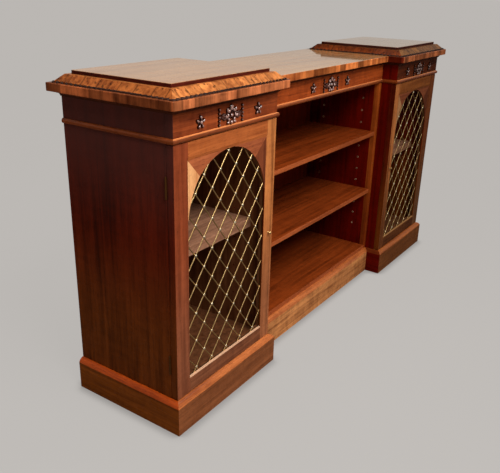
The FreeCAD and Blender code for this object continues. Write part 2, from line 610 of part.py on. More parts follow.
def carvings():
    """A wreath between two rosettes on each frieze."""
    for name, middle, face in (("left_frieze_carving", -END_MIDDLE, DOOR_FACE),
                               ("bay_frieze_carving", 0.0, BAY_FACE),
                               ("right_frieze_carving", END_MIDDLE, DOOR_FACE)):
        flowers = [rosette(middle + side * ROSETTE_SPACING, face) for side in (-1, 1)]
        add(name, wreath(middle, face), *flowers)


pegs = cupboard() + bookcase()
add("shelf_pins", *pegs, *[mirrored(peg) for peg in pegs])
plinth_and_mouldings()
tops()
door_frame()
grille()
knob()
hinges()
catches()
carvings()

os.makedirs("parts", exist_ok=True)
for name, shape in nodes.items():
    shape.exportStep(os.path.join("parts", name + ".step"))
    print(name, "solids", len(shape.Solids), "valid", shape.isValid())
print("nodes", len(nodes))
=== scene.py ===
import math

import bmesh
import bpy
from mathutils import Matrix, Vector


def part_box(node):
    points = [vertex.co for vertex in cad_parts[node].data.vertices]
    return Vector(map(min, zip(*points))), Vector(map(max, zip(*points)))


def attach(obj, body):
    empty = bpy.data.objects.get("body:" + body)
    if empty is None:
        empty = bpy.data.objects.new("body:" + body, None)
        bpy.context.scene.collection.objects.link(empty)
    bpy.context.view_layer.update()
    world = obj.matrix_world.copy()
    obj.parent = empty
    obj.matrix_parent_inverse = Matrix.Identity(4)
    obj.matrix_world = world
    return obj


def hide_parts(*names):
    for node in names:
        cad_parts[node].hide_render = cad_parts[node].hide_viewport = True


# A low inverted breakfront bookcase: two arched cupboards with brass lattices stand forward of an
# open centre. Metres, +Z up, doors to -Y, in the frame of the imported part.

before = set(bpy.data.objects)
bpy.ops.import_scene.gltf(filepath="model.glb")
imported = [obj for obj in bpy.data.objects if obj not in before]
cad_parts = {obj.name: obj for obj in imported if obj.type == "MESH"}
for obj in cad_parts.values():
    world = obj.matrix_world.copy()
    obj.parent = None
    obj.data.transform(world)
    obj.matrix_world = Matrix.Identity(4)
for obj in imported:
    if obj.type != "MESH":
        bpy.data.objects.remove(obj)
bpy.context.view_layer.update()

MM = 0.001
SIDES = ("left", "right")
FRONT = Vector((0, -1, 0))
BLACK = (0.0, 0.0, 0.0, 1.0)

# Camera
CAMERA_PLACE = Vector((-1.9363, -1.1152, 1.1407))
CAMERA_LOOK = Vector((0.77038, 0.51809, -0.37161))
CAMERA_RIGHT = Vector((0.56659, -0.82358, 0.02637))
CAMERA_LENS = 45.44
CAMERA_RANGE = 200.0
SENSOR_WIDTH = 36.0

# Studio
FLOOR_HALF = 60.0
FLOOR_EVEN = 0.88  # share of the floor's own pale tone, the rest shows light and shadow
CONTACT_REACH = 40.0 * MM
CONTACT_SHADE = 0.62  # share of the floor's tone left where the plinth stands on it
FLOOR_REFLECTED = (0.1, 0.09, 0.08, 1.0)
BACKGROUND_MIRRORED = 0.5
BACKGROUND_LIGHT = 0.12
BACKGROUND_WARM = (1.0, 0.93, 0.84, 1.0)
SOFTBOX_PLACE = Vector((-1.05, -1.75, 2.4))
SOFTBOX_TARGET = Vector((-0.8, 0.0, 0.45))
SOFTBOX_SIZE = (1.6, 1.1)
SOFTBOX_SPREAD = math.radians(115)
SOFTBOX_POWER = 27.0
TOP_STRENGTH = 1.25
TOP_ANGLE = math.radians(70)
TOP_FROM = Vector((0.1, -0.2, 1.0))

# Wood
GRAIN_TURN = {"x": (0, 0, 0), "y": (0, 0, -math.pi / 2), "z": (0, math.pi / 2, 0)}
GRAIN_DEPTH = 0.4 * MM
WOOD_GLOSS = 0.03
EDGE_COAT = 0.08  # polish on the edges of the tops
TOP_COAT_ROUGHNESS = 0.06
TOP_STREAKS = 34.0
TOP_FIGURE = 0.45
SIDEWAYS_SHADE = (0.87, 0.73, 0.62, 1.0)  # painted shade on the edges of the tops that look along X
FAR_SHADE_SPAN = (0.38, 0.44)  # places across between which the painted shade of the right-hand end begins
FOOT_FADE = (0.58, 0.2)  # heights between which a board turns browner
SHEEN_FADE = (0.5, 0.86)  # heights between which a painted grey reflection and shade begins
SHEEN_SHARE = 0.55
FACING_LEAST = 0.1  # from here on a face counts as looking outward
SILL_HIGHLIGHT_FADE = (142.0 * MM, 144.0 * MM)  # heights between which the painted highlight on the doors' sill begins
QUIRK_INSET = 11.0 * MM  # from a lock stile's inner edge to its fine groove
QUIRK_HALF = 2.0 * MM
QUIRK_SHADE = 0.55
BEYOND_QUIRK_SHADE = 0.14

# Brass lattice
LATTICE_PITCH_X = 68.0 * MM
LATTICE_PITCH_Z = 83.2 * MM
LATTICE_CROWN = 9.0 * MM  # crown of the arch to the highest crossing
GRILLE_BORDER = 7.0 * MM
BORDER_LIP = 0.5 * MM
BORDER_STEPS = 40
BAR_TUCK = 5.0 * MM  # how far a bar runs behind the wood
BAR_WIDTH = 4.2 * MM
REAR_BAR_WIDTH = 3.4 * MM
BAR_DEPTH = 2.3 * MM
BAR_LAYER = 2.0 * MM
STUD_RADIUS = 4.4 * MM
STUD_RISE = 2.1 * MM

# Turned knobs, in radii and distances from the stile
KNOB_SHANK = 2.4 * MM
KNOB_SHANK_LENGTH = 14.0 * MM
KNOB_PLATE = 3.6 * MM
KNOB_NECK = 2.0 * MM
KNOB_THROAT = 2.6 * MM  # where the ball begins
KNOB_BALL = 4.7 * MM

# Bead and reel at the foot of the bevelled frames
REEL_PITCH = 16.5 * MM
REEL_LENGTH = 10.0 * MM
REEL_RADIUS = 4.3 * MM
BEAD_RADIUS = 3.9 * MM
STRING_RADIUS = 3.3 * MM  # the strip they are cut on

# Carved rosettes
ROSETTE_SPACING = 122.0 * MM
ROSETTE_HEART = 3.0 * MM  # where its petals begin
SEPAL = dict(length=8.5 * MM, width=4.6 * MM, crown=3.0 * MM)
PETAL = dict(length=15.4 * MM, width=9.2 * MM, crown=6.0 * MM, belly=1.6)
ROSETTE_BOSS = dict(radius=5.0 * MM, crown=4.4 * MM, lift=3.1 * MM)

# Carved wreath
WREATH_RADIUS = 17.6 * MM
WREATH_WIDTH = 8.6 * MM
WREATH_RISE = 4.4 * MM
WREATH_BOSS = dict(radius=5.2 * MM, crown=4.2 * MM, lift=2.8 * MM)
LAUREL_PAIRS = 8
LAUREL_LEAF = dict(length=13.8 * MM, width=8.2 * MM, crown=4.0 * MM, lift=2.6 * MM, belly=1.1)
FLOWER_HEART = 1.5 * MM
FLOWER_PETAL = dict(length=10.8 * MM, width=9.2 * MM, crown=4.6 * MM, dish=0.2, belly=1.4)
FLOWER_BOSS = dict(radius=5.2 * MM, crown=4.4 * MM, lift=2.6 * MM)

# Carved sprays beside the wreath
SCROLL_PLACE = 29.0 * MM
SCROLL_TURN = 3.4 * math.pi
SCROLL_REACH = (9.0 * MM, 3.0 * MM)  # from its eye, at its start and its end
SCROLL_WIDTH = (5.4 * MM, 3.2 * MM)
SCROLL_RISE = 4.6 * MM
SCROLL_EYE = dict(radius=3.2 * MM, crown=5.0 * MM)
SPRAY_ROOT = 35.5 * MM
SPRAY_LEAF = dict(length=11.5 * MM, width=6.4 * MM, crown=4.2 * MM)
HUSK_REACH = 49.0 * MM
HUSK_SPACING = 9.4 * MM
HUSK_COUNT = 5
HUSK_RISE = 4.6 * MM  # root of a husk over its middle
HUSK = dict(length=9.6 * MM, width=9.4 * MM, crown=5.2 * MM, belly=0.85)

# Brass sockets of the shelf pins
PEG_SETBACK = 65.0 * MM
PEG_FIRST = 89.0 * MM
PEG_PITCH = 48.0 * MM
PEG_COUNT = 12
SHELF_SETBACK = 2.0 * MM
SHELF_CLEARANCE = 1.0 * MM
SOCKET_BORE = 2.6 * MM
SOCKET_RADIUS = 4.2 * MM
SOCKET_RISE = 0.4 * MM

# Hinge screws
LEAF_LENGTH = 52.0 * MM
SCREW_SPREAD = 16.0 * MM
SCREW_STAGGER = 3.0 * MM
SCREW_RADIUS = 2.5 * MM
SCREW_RISE = 0.25 * MM
SCREW_SLOT = 0.35 * MM  # half its width


def srgb(red, green, blue):
    """A colour given as display values from 0 to 255, in linear light."""
    def linear(value):
        share = value / 255
        return share / 12.92 if share <= 0.04045 else ((share + 0.055) / 1.055) ** 2.4
    return (linear(red), linear(green), linear(blue), 1.0)


# Shader nodes

def place(tree, kind, inputs=None, **settings):
    """Adds a node; an input is a value or another node's output."""
    made = tree.nodes.new(kind)
    for name, value in settings.items():
        setattr(made, name, value)
    for name, value in (inputs or {}).items():
        socket = made.inputs[name]
        if isinstance(value, bpy.types.NodeSocket):
            tree.links.new(value, socket)
        else:
            socket.default_value = value
    return made


def calc(tree, operation, *values, clamp=False):
    made = place(tree, "ShaderNodeMath", dict(enumerate(values)), operation=operation, use_clamp=clamp)
    return made.outputs[0]


def noise(tree, vector, scale, detail=2.0, roughness=0.5, distortion=0.0):
    made = place(tree, "ShaderNodeTexNoise", {"Vector": vector, "Scale": scale, "Detail": detail,
                                              "Roughness": roughness, "Distortion": distortion})
    return made.outputs[0]


def stretched(tree, vector, factors):
    made = place(tree, "ShaderNodeVectorMath", {0: vector, 1: factors}, operation="MULTIPLY")
    return made.outputs[0]


def fade(tree, value, start, end, low=0.0, high=1.0):
    """A smooth step from low at start to high at end."""
    made = place(tree, "ShaderNodeMapRange", {"Value": value, "From Min": start, "From Max": end,
                                              "To Min": low, "To Max": high},
                 interpolation_type="SMOOTHSTEP")
    return made.outputs[0]


def mix(tree, share, first, second, blend="MIX"):
    made = place(tree, "ShaderNodeMix", {0: share, 6: first, 7: second}, data_type="RGBA", blend_type=blend)
    return made.outputs[2]


def choose(tree, share, first, second):
    """The first vector where share is 0, the second where it is 1."""
    made = place(tree, "ShaderNodeMix", {0: share, 4: first, 5: second}, data_type="VECTOR")
    return made.outputs[1]


def parts(tree, vector):
    """The three components of a vector."""
    return place(tree, "ShaderNodeSeparateXYZ", {0: vector}).outputs


def new_group(name, inputs, outputs):
    tree = bpy.data.node_groups.new(name, "ShaderNodeTree")
    for label, kind in inputs.items():
        tree.interface.new_socket(label, in_out="INPUT", socket_type="NodeSocket" + kind)
    for label, kind in outputs.items():
        tree.interface.new_socket(label, in_out="OUTPUT", socket_type="NodeSocket" + kind)
    return tree, tree.nodes.new("NodeGroupInput").outputs, tree.nodes.new("NodeGroupOutput").inputs


def use(tree, group, inputs):
    """Places a shared group with its own values."""
    return place(tree, "ShaderNodeGroup", inputs, node_tree=group).outputs


def figured_grain_group():
    """Polished figured wood; the vector's X runs along the grain."""
    tree, given, out = new_group(
        "figured_grain",
        {"Vector": "Vector", "Streaks": "Float", "Figure": "Float", "Light": "Color", "Dark": "Color"},
        {"Color": "Color", "Roughness": "Float", "Height": "Float"})
    vector = given["Vector"]
    streaks = noise(tree, stretched(tree, vector, (0.045, 1, 1)), given["Streaks"], 6.0, 0.62, 0.5)
    fibres = noise(tree, stretched(tree, vector, (0.02, 1, 1)), 620.0, 2.0)
    cloud = noise(tree, stretched(tree, vector, (0.45, 1, 1)), 7.0, 3.0, 0.55, 0.8)
    ripple = noise(tree, stretched(tree, vector, (1, 0.3, 0.3)), 46.0, 2.0, 0.5, 0.4)
    pores = fade(tree, noise(tree, stretched(tree, vector, (0.08, 1, 1)), 760.0, 1.0), 0.6, 0.7)
    lean = calc(tree, "MULTIPLY_ADD", calc(tree, "ADD", cloud, calc(tree, "MULTIPLY", ripple, 0.6)),
                given["Figure"], calc(tree, "MULTIPLY", given["Figure"], -0.8))
    tone = calc(tree, "MULTIPLY_ADD", calc(tree, "SUBTRACT", streaks, 0.5), 2.3, 0.5)
    tone = calc(tree, "MULTIPLY_ADD", calc(tree, "SUBTRACT", fibres, 0.5), 0.5, tone)
    tone = calc(tree, "ADD", calc(tree, "MULTIPLY", lean, 2.0), tone, clamp=True)
    colour = mix(tree, tone, given["Dark"], given["Light"])
    dark_pores = calc(tree, "MULTIPLY_ADD", pores, -0.4, 1.0)
    tree.links.new(mix(tree, 1.0, colour, dark_pores, "MULTIPLY"), out["Color"])
    worn = noise(tree, vector, 11.0, 4.0, 0.6)
    matt = calc(tree, "MULTIPLY_ADD", worn, 0.22, 0.16)
    tree.links.new(calc(tree, "MULTIPLY_ADD", pores, 0.12, matt), out["Roughness"])
    sunk = calc(tree, "MULTIPLY", pores, -1.0)
    tree.links.new(calc(tree, "MULTIPLY_ADD", fibres, 0.3, sunk), out["Height"])
    return tree


def softened_arris_group():
    """A mask of the rounded arrises of square boards, rubbed unevenly."""
    tree, given, out = new_group("softened_arris", {"Normal": "Vector", "Vector": "Vector"},
                                 {"Mask": "Float"})
    lean = parts(tree, given["Normal"])
    level = [calc(tree, "ABSOLUTE", lean[axis]) for axis in range(3)]
    most = calc(tree, "MAXIMUM", calc(tree, "MAXIMUM", level[0], level[1]), level[2])
    edge = fade(tree, most, 0.985, 0.86)
    rub = fade(tree, noise(tree, given["Vector"], 24.0, 3.0), 0.38, 0.62, 0.35, 1.0)
    tree.links.new(calc(tree, "MULTIPLY", edge, rub), out["Mask"])
    return tree


def veneer_leaves_group():
    """Short leaves of veneer laid side by side along a run: a tone for each leaf, and its joints."""
    tree, given, out = new_group("veneer_leaves", {"Run": "Float", "Pitch": "Float"},
                                 {"Tone": "Float", "Joint": "Float"})
    wander = place(tree, "ShaderNodeTexNoise", {"W": given["Run"], "Scale": 9.0}, noise_dimensions="1D")
    steps = calc(tree, "DIVIDE", given["Run"], given["Pitch"])
    drift = calc(tree, "MULTIPLY_ADD", wander.outputs[0], 1.6, steps)
    leaf = place(tree, "ShaderNodeTexWhiteNoise", {"W": calc(tree, "FLOOR", drift)}, noise_dimensions="1D")
    tree.links.new(leaf.outputs["Value"], out["Tone"])
    share = calc(tree, "FRACT", drift)
    edge = calc(tree, "MINIMUM", share, calc(tree, "SUBTRACT", 1.0, share))
    tree.links.new(fade(tree, edge, 0.05, 0.0), out["Joint"])
    return tree


def darker_end_group():
    """Deepens the right-hand end as painted shade, where the light falls off."""
    tree, given, out = new_group("darker_end", {"Color": "Color", "Vector": "Vector", "Keep": "Color"},
                                 {"Color": "Color"})
    share = fade(tree, parts(tree, given["Vector"])[0], *FAR_SHADE_SPAN)
    tree.links.new(mix(tree, share, given["Color"], given["Keep"], "MULTIPLY"), out["Color"])
    return tree


FIGURED_GRAIN = figured_grain_group()
SOFTENED_ARRIS = softened_arris_group()
VENEER_LEAVES = veneer_leaves_group()
DARKER_END = darker_end_group()


# Woods and brass

def new_material(name):
    """A new material, its tree, its shader's inputs and its texture coordinates."""
    material = bpy.data.materials.new(name)
    material.use_nodes = True
    tree = material.node_tree
    tree.nodes.clear()
    shader = place(tree, "ShaderNodeBsdfPrincipled")
    output = place(tree, "ShaderNodeOutputMaterial")
    tree.links.new(shader.outputs[0], output.inputs[0])
    return material, tree, shader.inputs, place(tree, "ShaderNodeTexCoord").outputs


def facing_sideways(tree, normal):
    """1 on faces that look along X, 0 on those that look along Y."""
    lean = parts(tree, normal)
    return calc(tree, "GREATER_THAN", calc(tree, "ABSOLUTE", lean[0]), calc(tree, "ABSOLUTE", lean[1]))


def facing_outward(tree, spot, lean):
    """Above 0 on faces that look away from the cabinet's middle, below 0 on those that look to it."""
    return calc(tree, "MULTIPLY", spot[0], lean[0])


def grain_vector(tree, spot, along, shift=(0.0, 0.0, 0.0), tilt=0.0):
    """Object coordinates turned so that X runs along the grain, which may lean in the front's plane."""
    around_x, around_y, around_z = GRAIN_TURN[along]
    made = place(tree, "ShaderNodeMapping", {"Vector": spot, "Location": shift,
                                             "Rotation": (around_x, around_y + tilt, around_z)})
    return made.outputs[0]


def run_vector(tree, found, shift):
    """Object coordinates whose X follows a moulding round its corners."""
    return choose(tree, facing_sideways(tree, found["Normal"]),
                  grain_vector(tree, found["Object"], "x", shift),
                  grain_vector(tree, found["Object"], "y", shift))


def wood_grain(tree, vector, streaks, figure, light, dark):
    """The shared grain in two colours."""
    return use(tree, FIGURED_GRAIN, {"Vector": vector, "Streaks": streaks, "Figure": figure,
                                     "Light": light, "Dark": dark})


def shares(keep):
    """Shares of red, green and blue, the same for all if one number is given."""
    return (*keep, 1.0) if isinstance(keep, tuple) else (keep, keep, keep, 1.0)


def far_end_shaded(tree, spot, colour, keep):
    """A colour of which the right-hand end has only the share keep, as painted shade."""
    return use(tree, DARKER_END, {"Color": colour, "Vector": spot, "Keep": shares(keep)})["Color"]


def grained(tree, spot, vector, streaks, figure, light, dark, foot=None):
    """Grain in two colours, and its colour after the lower part has turned to those of foot, whose third
    value is the share of them left at the right-hand end."""
    grain = wood_grain(tree, vector, streaks, figure, light, dark)
    colour = grain["Color"]
    if foot:
        foot_light, foot_dark, keep = foot
        brown = wood_grain(tree, vector, streaks, figure, foot_light, foot_dark)["Color"]
        low = fade(tree, parts(tree, spot)[2], *FOOT_FADE)
        colour = mix(tree, low, colour, far_end_shaded(tree, spot, brown, keep))
    return grain, colour


def quirk_shade(tree, across, quirk):
    """Shade of a fine groove at a distance from the cabinet's middle, and a little beyond it."""
    out = calc(tree, "ABSOLUTE", across)
    off = calc(tree, "ABSOLUTE", calc(tree, "SUBTRACT", out, quirk))
    line = fade(tree, off, QUIRK_HALF, QUIRK_HALF / 4, 0.0, QUIRK_SHADE)
    beyond = fade(tree, out, quirk, quirk + QUIRK_HALF * 1.5, 0.0, BEYOND_QUIRK_SHADE)
    return calc(tree, "MAXIMUM", line, beyond)


def polish(tree, shader, grain, colour, coat, coat_roughness, bump):
    """Sets the polished surface of a wood."""
    tree.links.new(colour, shader["Base Color"])
    tree.links.new(grain["Roughness"], shader["Roughness"])
    shader["Specular IOR Level"].default_value = WOOD_GLOSS
    if isinstance(coat, bpy.types.NodeSocket):
        tree.links.new(coat, shader["Coat Weight"])
    else:
        shader["Coat Weight"].default_value = coat
    shader["Coat Roughness"].default_value = coat_roughness
    relief = place(tree, "ShaderNodeBump", {"Height": grain["Height"], "Strength": bump,
                                            "Distance": GRAIN_DEPTH})
    tree.links.new(relief.outputs[0], shader["Normal"])


def polished_wood(name, light, dark, along="z", streaks=60.0, figure=0.35, shift=(0.0, 0.0, 0.0),
                  tilt=0.0, coat=0.05, coat_roughness=0.12, arris=0.45, foot=None, crest=None, quirk=None,
                  sill=None, keep=1.0, ends=None, front=None, away=None, head=None):
    """Board or veneer with its grain along one axis; "run" follows a moulding round its corners. The
    lower part takes the colours of foot, faces that lean upwards the painted highlight in the colour of
    crest, and a sill a painted highlight of its own.
    quirk is how far from the cabinet's middle a fine groove runs up the front, and keep the share of all
    these left at the right-hand end, as painted shade. Faces that look along X take the colours of ends,
    those to the front those of front, those that look away from the middle or to the back those of away.
    The upper part of away, or else of ends, or else of all, turns towards the colour of head, a painted
    grey reflection and shade."""
    material, tree, shader, found = new_material(name)
    here, normal = found["Object"], found["Normal"]
    spot, lean = parts(tree, here), parts(tree, normal)
    if along == "run":
        vector = upright = run_vector(tree, found, shift)
    else:
        vector = grain_vector(tree, here, along, shift, tilt)
        upright = grain_vector(tree, here, "z", shift) if ends or away else vector

    def toned(colours, across):
        return grained(tree, here, across, streaks, figure, *colours)

    # painted grey reflection and shade over the upper part
    def sheened(colour):
        return mix(tree, fade(tree, spot[2], *SHEEN_FADE, 0.0, SHEEN_SHARE), colour, head)

    grain, colour = toned((light, dark, foot), vector)
    rubbed = use(tree, SOFTENED_ARRIS, {"Normal": normal, "Vector": here})
    colour = mix(tree, calc(tree, "MULTIPLY", rubbed["Mask"], arris), colour, light)
    # painted highlight: faces that lean upwards turn towards the colour of crest
    if crest:
        colour = mix(tree, fade(tree, lean[2], 0.45, 0.9), colour, crest)
    if quirk:
        colour = mix(tree, quirk_shade(tree, spot[0], quirk), colour, BLACK)
    # painted highlight on the upward splay of the doors' sill
    if sill:
        splay = calc(tree, "MULTIPLY", fade(tree, lean[2], 0.12, 0.22), fade(tree, spot[2], *SILL_HIGHLIGHT_FADE))
        colour = mix(tree, splay, colour, sill)
    colour = far_end_shaded(tree, here, colour, keep)
    if ends:
        edge = toned(ends, upright)[1]
        if head and not away:
            edge = sheened(edge)
        colour = mix(tree, facing_sideways(tree, normal), colour, edge)
    if front:
        colour = mix(tree, fade(tree, lean[1], -0.5, -0.8), colour, toned(front, vector)[1])
    if away:
        outer = toned(away, upright)[1]
        if head:
            outer = sheened(outer)
        outward = calc(tree, "GREATER_THAN", facing_outward(tree, spot, lean), FACING_LEAST)
        outward = calc(tree, "MAXIMUM", outward, fade(tree, lean[1], 0.5, 0.8))
        colour = mix(tree, outward, colour, outer)
    if head and not ends and not away:
        colour = sheened(colour)
    polish(tree, shader, grain, colour, coat, coat_roughness, 0.25)
    return material


def crossbanded_wood(name, light, dark, pitch, joint, spread, streaks, keep, top=None, mirror=0.0,
                     flecks=0.0, inward=None):
    """Veneer leaves laid across a run, as on the edges of the tops. top gives the colours of the upper face
    and mirror its polish, inward the share of the tones left on faces that look to the middle, as painted
    shade."""
    material, tree, shader, found = new_material(name)
    here, normal = found["Object"], found["Normal"]
    spot, lean = parts(tree, here), parts(tree, normal)
    sideways = facing_sideways(tree, normal)
    run = place(tree, "ShaderNodeMix", {0: sideways, 2: spot[0], 3: spot[1]}).outputs[0]
    if top:
        vector = grain_vector(tree, here, "z")
    else:
        vector = choose(tree, sideways, grain_vector(tree, here, "y"), grain_vector(tree, here, "x"))
    leaves = use(tree, VENEER_LEAVES, {"Run": run, "Pitch": pitch})
    grain = wood_grain(tree, vector, streaks, 0.6, light, dark)
    shade = calc(tree, "MULTIPLY_ADD", leaves["Tone"], spread, 1.0 - spread / 2)
    shade = calc(tree, "MULTIPLY", shade, calc(tree, "MULTIPLY_ADD", leaves["Joint"], -joint, 1.0))
    if flecks:
        marks = fade(tree, noise(tree, stretched(tree, vector, (0.35, 1, 1)), 95.0, 1.0), 0.62, 0.7)
        shade = calc(tree, "MULTIPLY", shade, calc(tree, "MULTIPLY_ADD", marks, -flecks, 1.0))
    colour = mix(tree, 1.0, grain["Color"], shade, "MULTIPLY")
    # painted shade on edges that look along X
    colour = mix(tree, sideways, colour, SIDEWAYS_SHADE, "MULTIPLY")
    # painted shade on faces that look to the middle
    if inward:
        inner = calc(tree, "LESS_THAN", facing_outward(tree, spot, lean), -FACING_LEAST)
        colour = mix(tree, inner, colour, shares(inward), "MULTIPLY")
    coat = EDGE_COAT
    if top:
        upper = fade(tree, lean[2], 0.8, 0.95)
        flat = wood_grain(tree, grain_vector(tree, here, "x"), TOP_STREAKS, TOP_FIGURE, *top)
        colour = mix(tree, upper, colour, flat["Color"])
        if mirror:
            coat = calc(tree, "MULTIPLY_ADD", upper, mirror, EDGE_COAT)
    polish(tree, shader, grain, far_end_shaded(tree, here, colour, keep), coat, TOP_COAT_ROUGHNESS, 0.15)
    return material


def panel_top_wood(name, light, dark, rim):
    """A mirror-polished top whose upright rim is darker wood; the top is paler partly as a painted
    reflection.
    """
    material, tree, shader, found = new_material(name)
    vector = grain_vector(tree, found["Object"], "x")
    grain = wood_grain(tree, vector, TOP_STREAKS, TOP_FIGURE, light, dark)
    edge = wood_grain(tree, vector, 70.0, 0.3, *rim)
    upper = fade(tree, parts(tree, found["Normal"])[2], 0.5, 0.9)
    colour = far_end_shaded(tree, found["Object"], mix(tree, upper, edge["Color"], grain["Color"]), 0.65)
    coat = calc(tree, "MULTIPLY_ADD", upper, 0.8, 0.2)
    polish(tree, shader, grain, colour, coat, TOP_COAT_ROUGHNESS, 0.1)
    return material


def spandrel_wood(name):
    """Splayed spandrels: upright grain on the side facets, level grain on the top ones, mitred. Side facets
    facing right take a lit golden copy of the veneer and those facing left a shaded brown copy: painted
    light and shade.
    """
    material, tree, shader, found = new_material(name)
    lean = parts(tree, found["Normal"])[0]
    upright = grain_vector(tree, found["Object"], "z", (0.3, 0.1, 0.2))
    level = grain_vector(tree, found["Object"], "x", (0.7, 0.4, 0.1))
    lit_facets = wood_grain(tree, upright, 90.0, 0.4, srgb(244, 178, 118), srgb(206, 132, 80))
    brown = wood_grain(tree, upright, 90.0, 0.4, srgb(150, 78, 46), srgb(96, 46, 28))
    upper = wood_grain(tree, level, 90.0, 0.4, srgb(190, 104, 62), srgb(140, 70, 42))
    # painted light and shade: facets facing right take the lit golden copy, those facing left the shaded
    # brown one
    colour = mix(tree, fade(tree, lean, 0.02, 0.04), upper["Color"], lit_facets["Color"])
    colour = mix(tree, fade(tree, lean, -0.02, -0.04), colour, brown["Color"])
    polish(tree, shader, lit_facets, far_end_shaded(tree, found["Object"], colour, 0.6), 0.2, 0.12, 0.2)
    return material


def carved_wood(name, light, dark, rubbed):
    """Dark carving, darkened in its hollows as painted shade, with a paler painted highlight and a brighter
    coat where it stands out most.
    """
    material, tree, shader, found = new_material(name)
    grain = wood_grain(tree, found["Object"], 180.0, 0.3, light, dark)
    relief = place(tree, "ShaderNodeAttribute", attribute_name="relief").outputs["Fac"]
    # painted shade: the lower the relief, the darker
    colour = mix(tree, 1.0, grain["Color"], fade(tree, relief, 0.05, 0.75, 0.22, 1.0), "MULTIPLY")
    # painted highlight: the highest relief turns pale
    colour = mix(tree, fade(tree, relief, 0.45, 0.95, 0.0, 0.66), colour, rubbed)
    coat = fade(tree, relief, 0.5, 0.85, 0.04, 1.0)
    polish(tree, shader, grain, far_end_shaded(tree, found["Object"], colour, 0.6), coat, 0.12, 0.1)
    shader["Coat IOR"].default_value = 2.4
    return material


def brass(name, bright, dull, roughness, keep=1.0):
    """Polished brass, tarnished in patches; keep is the share of its tone left at the right-hand end, as
    painted shade.
    """
    material, tree, shader, found = new_material(name)
    patch = fade(tree, noise(tree, found["Object"], 38.0, 4.0, 0.6), 0.42, 0.66)
    speck = fade(tree, noise(tree, found["Object"], 420.0, 2.0), 0.55, 0.75)
    patch = calc(tree, "MULTIPLY", patch, 0.55)
    tarnish = calc(tree, "MAXIMUM", patch, calc(tree, "MULTIPLY", speck, 0.6))
    colour = mix(tree, tarnish, bright, dull)
    tree.links.new(far_end_shaded(tree, found["Object"], colour, keep), shader["Base Color"])
    tree.links.new(calc(tree, "MULTIPLY_ADD", tarnish, 0.25, roughness), shader["Roughness"])
    shader["Metallic"].default_value = 1.0
    return material


# Finishes

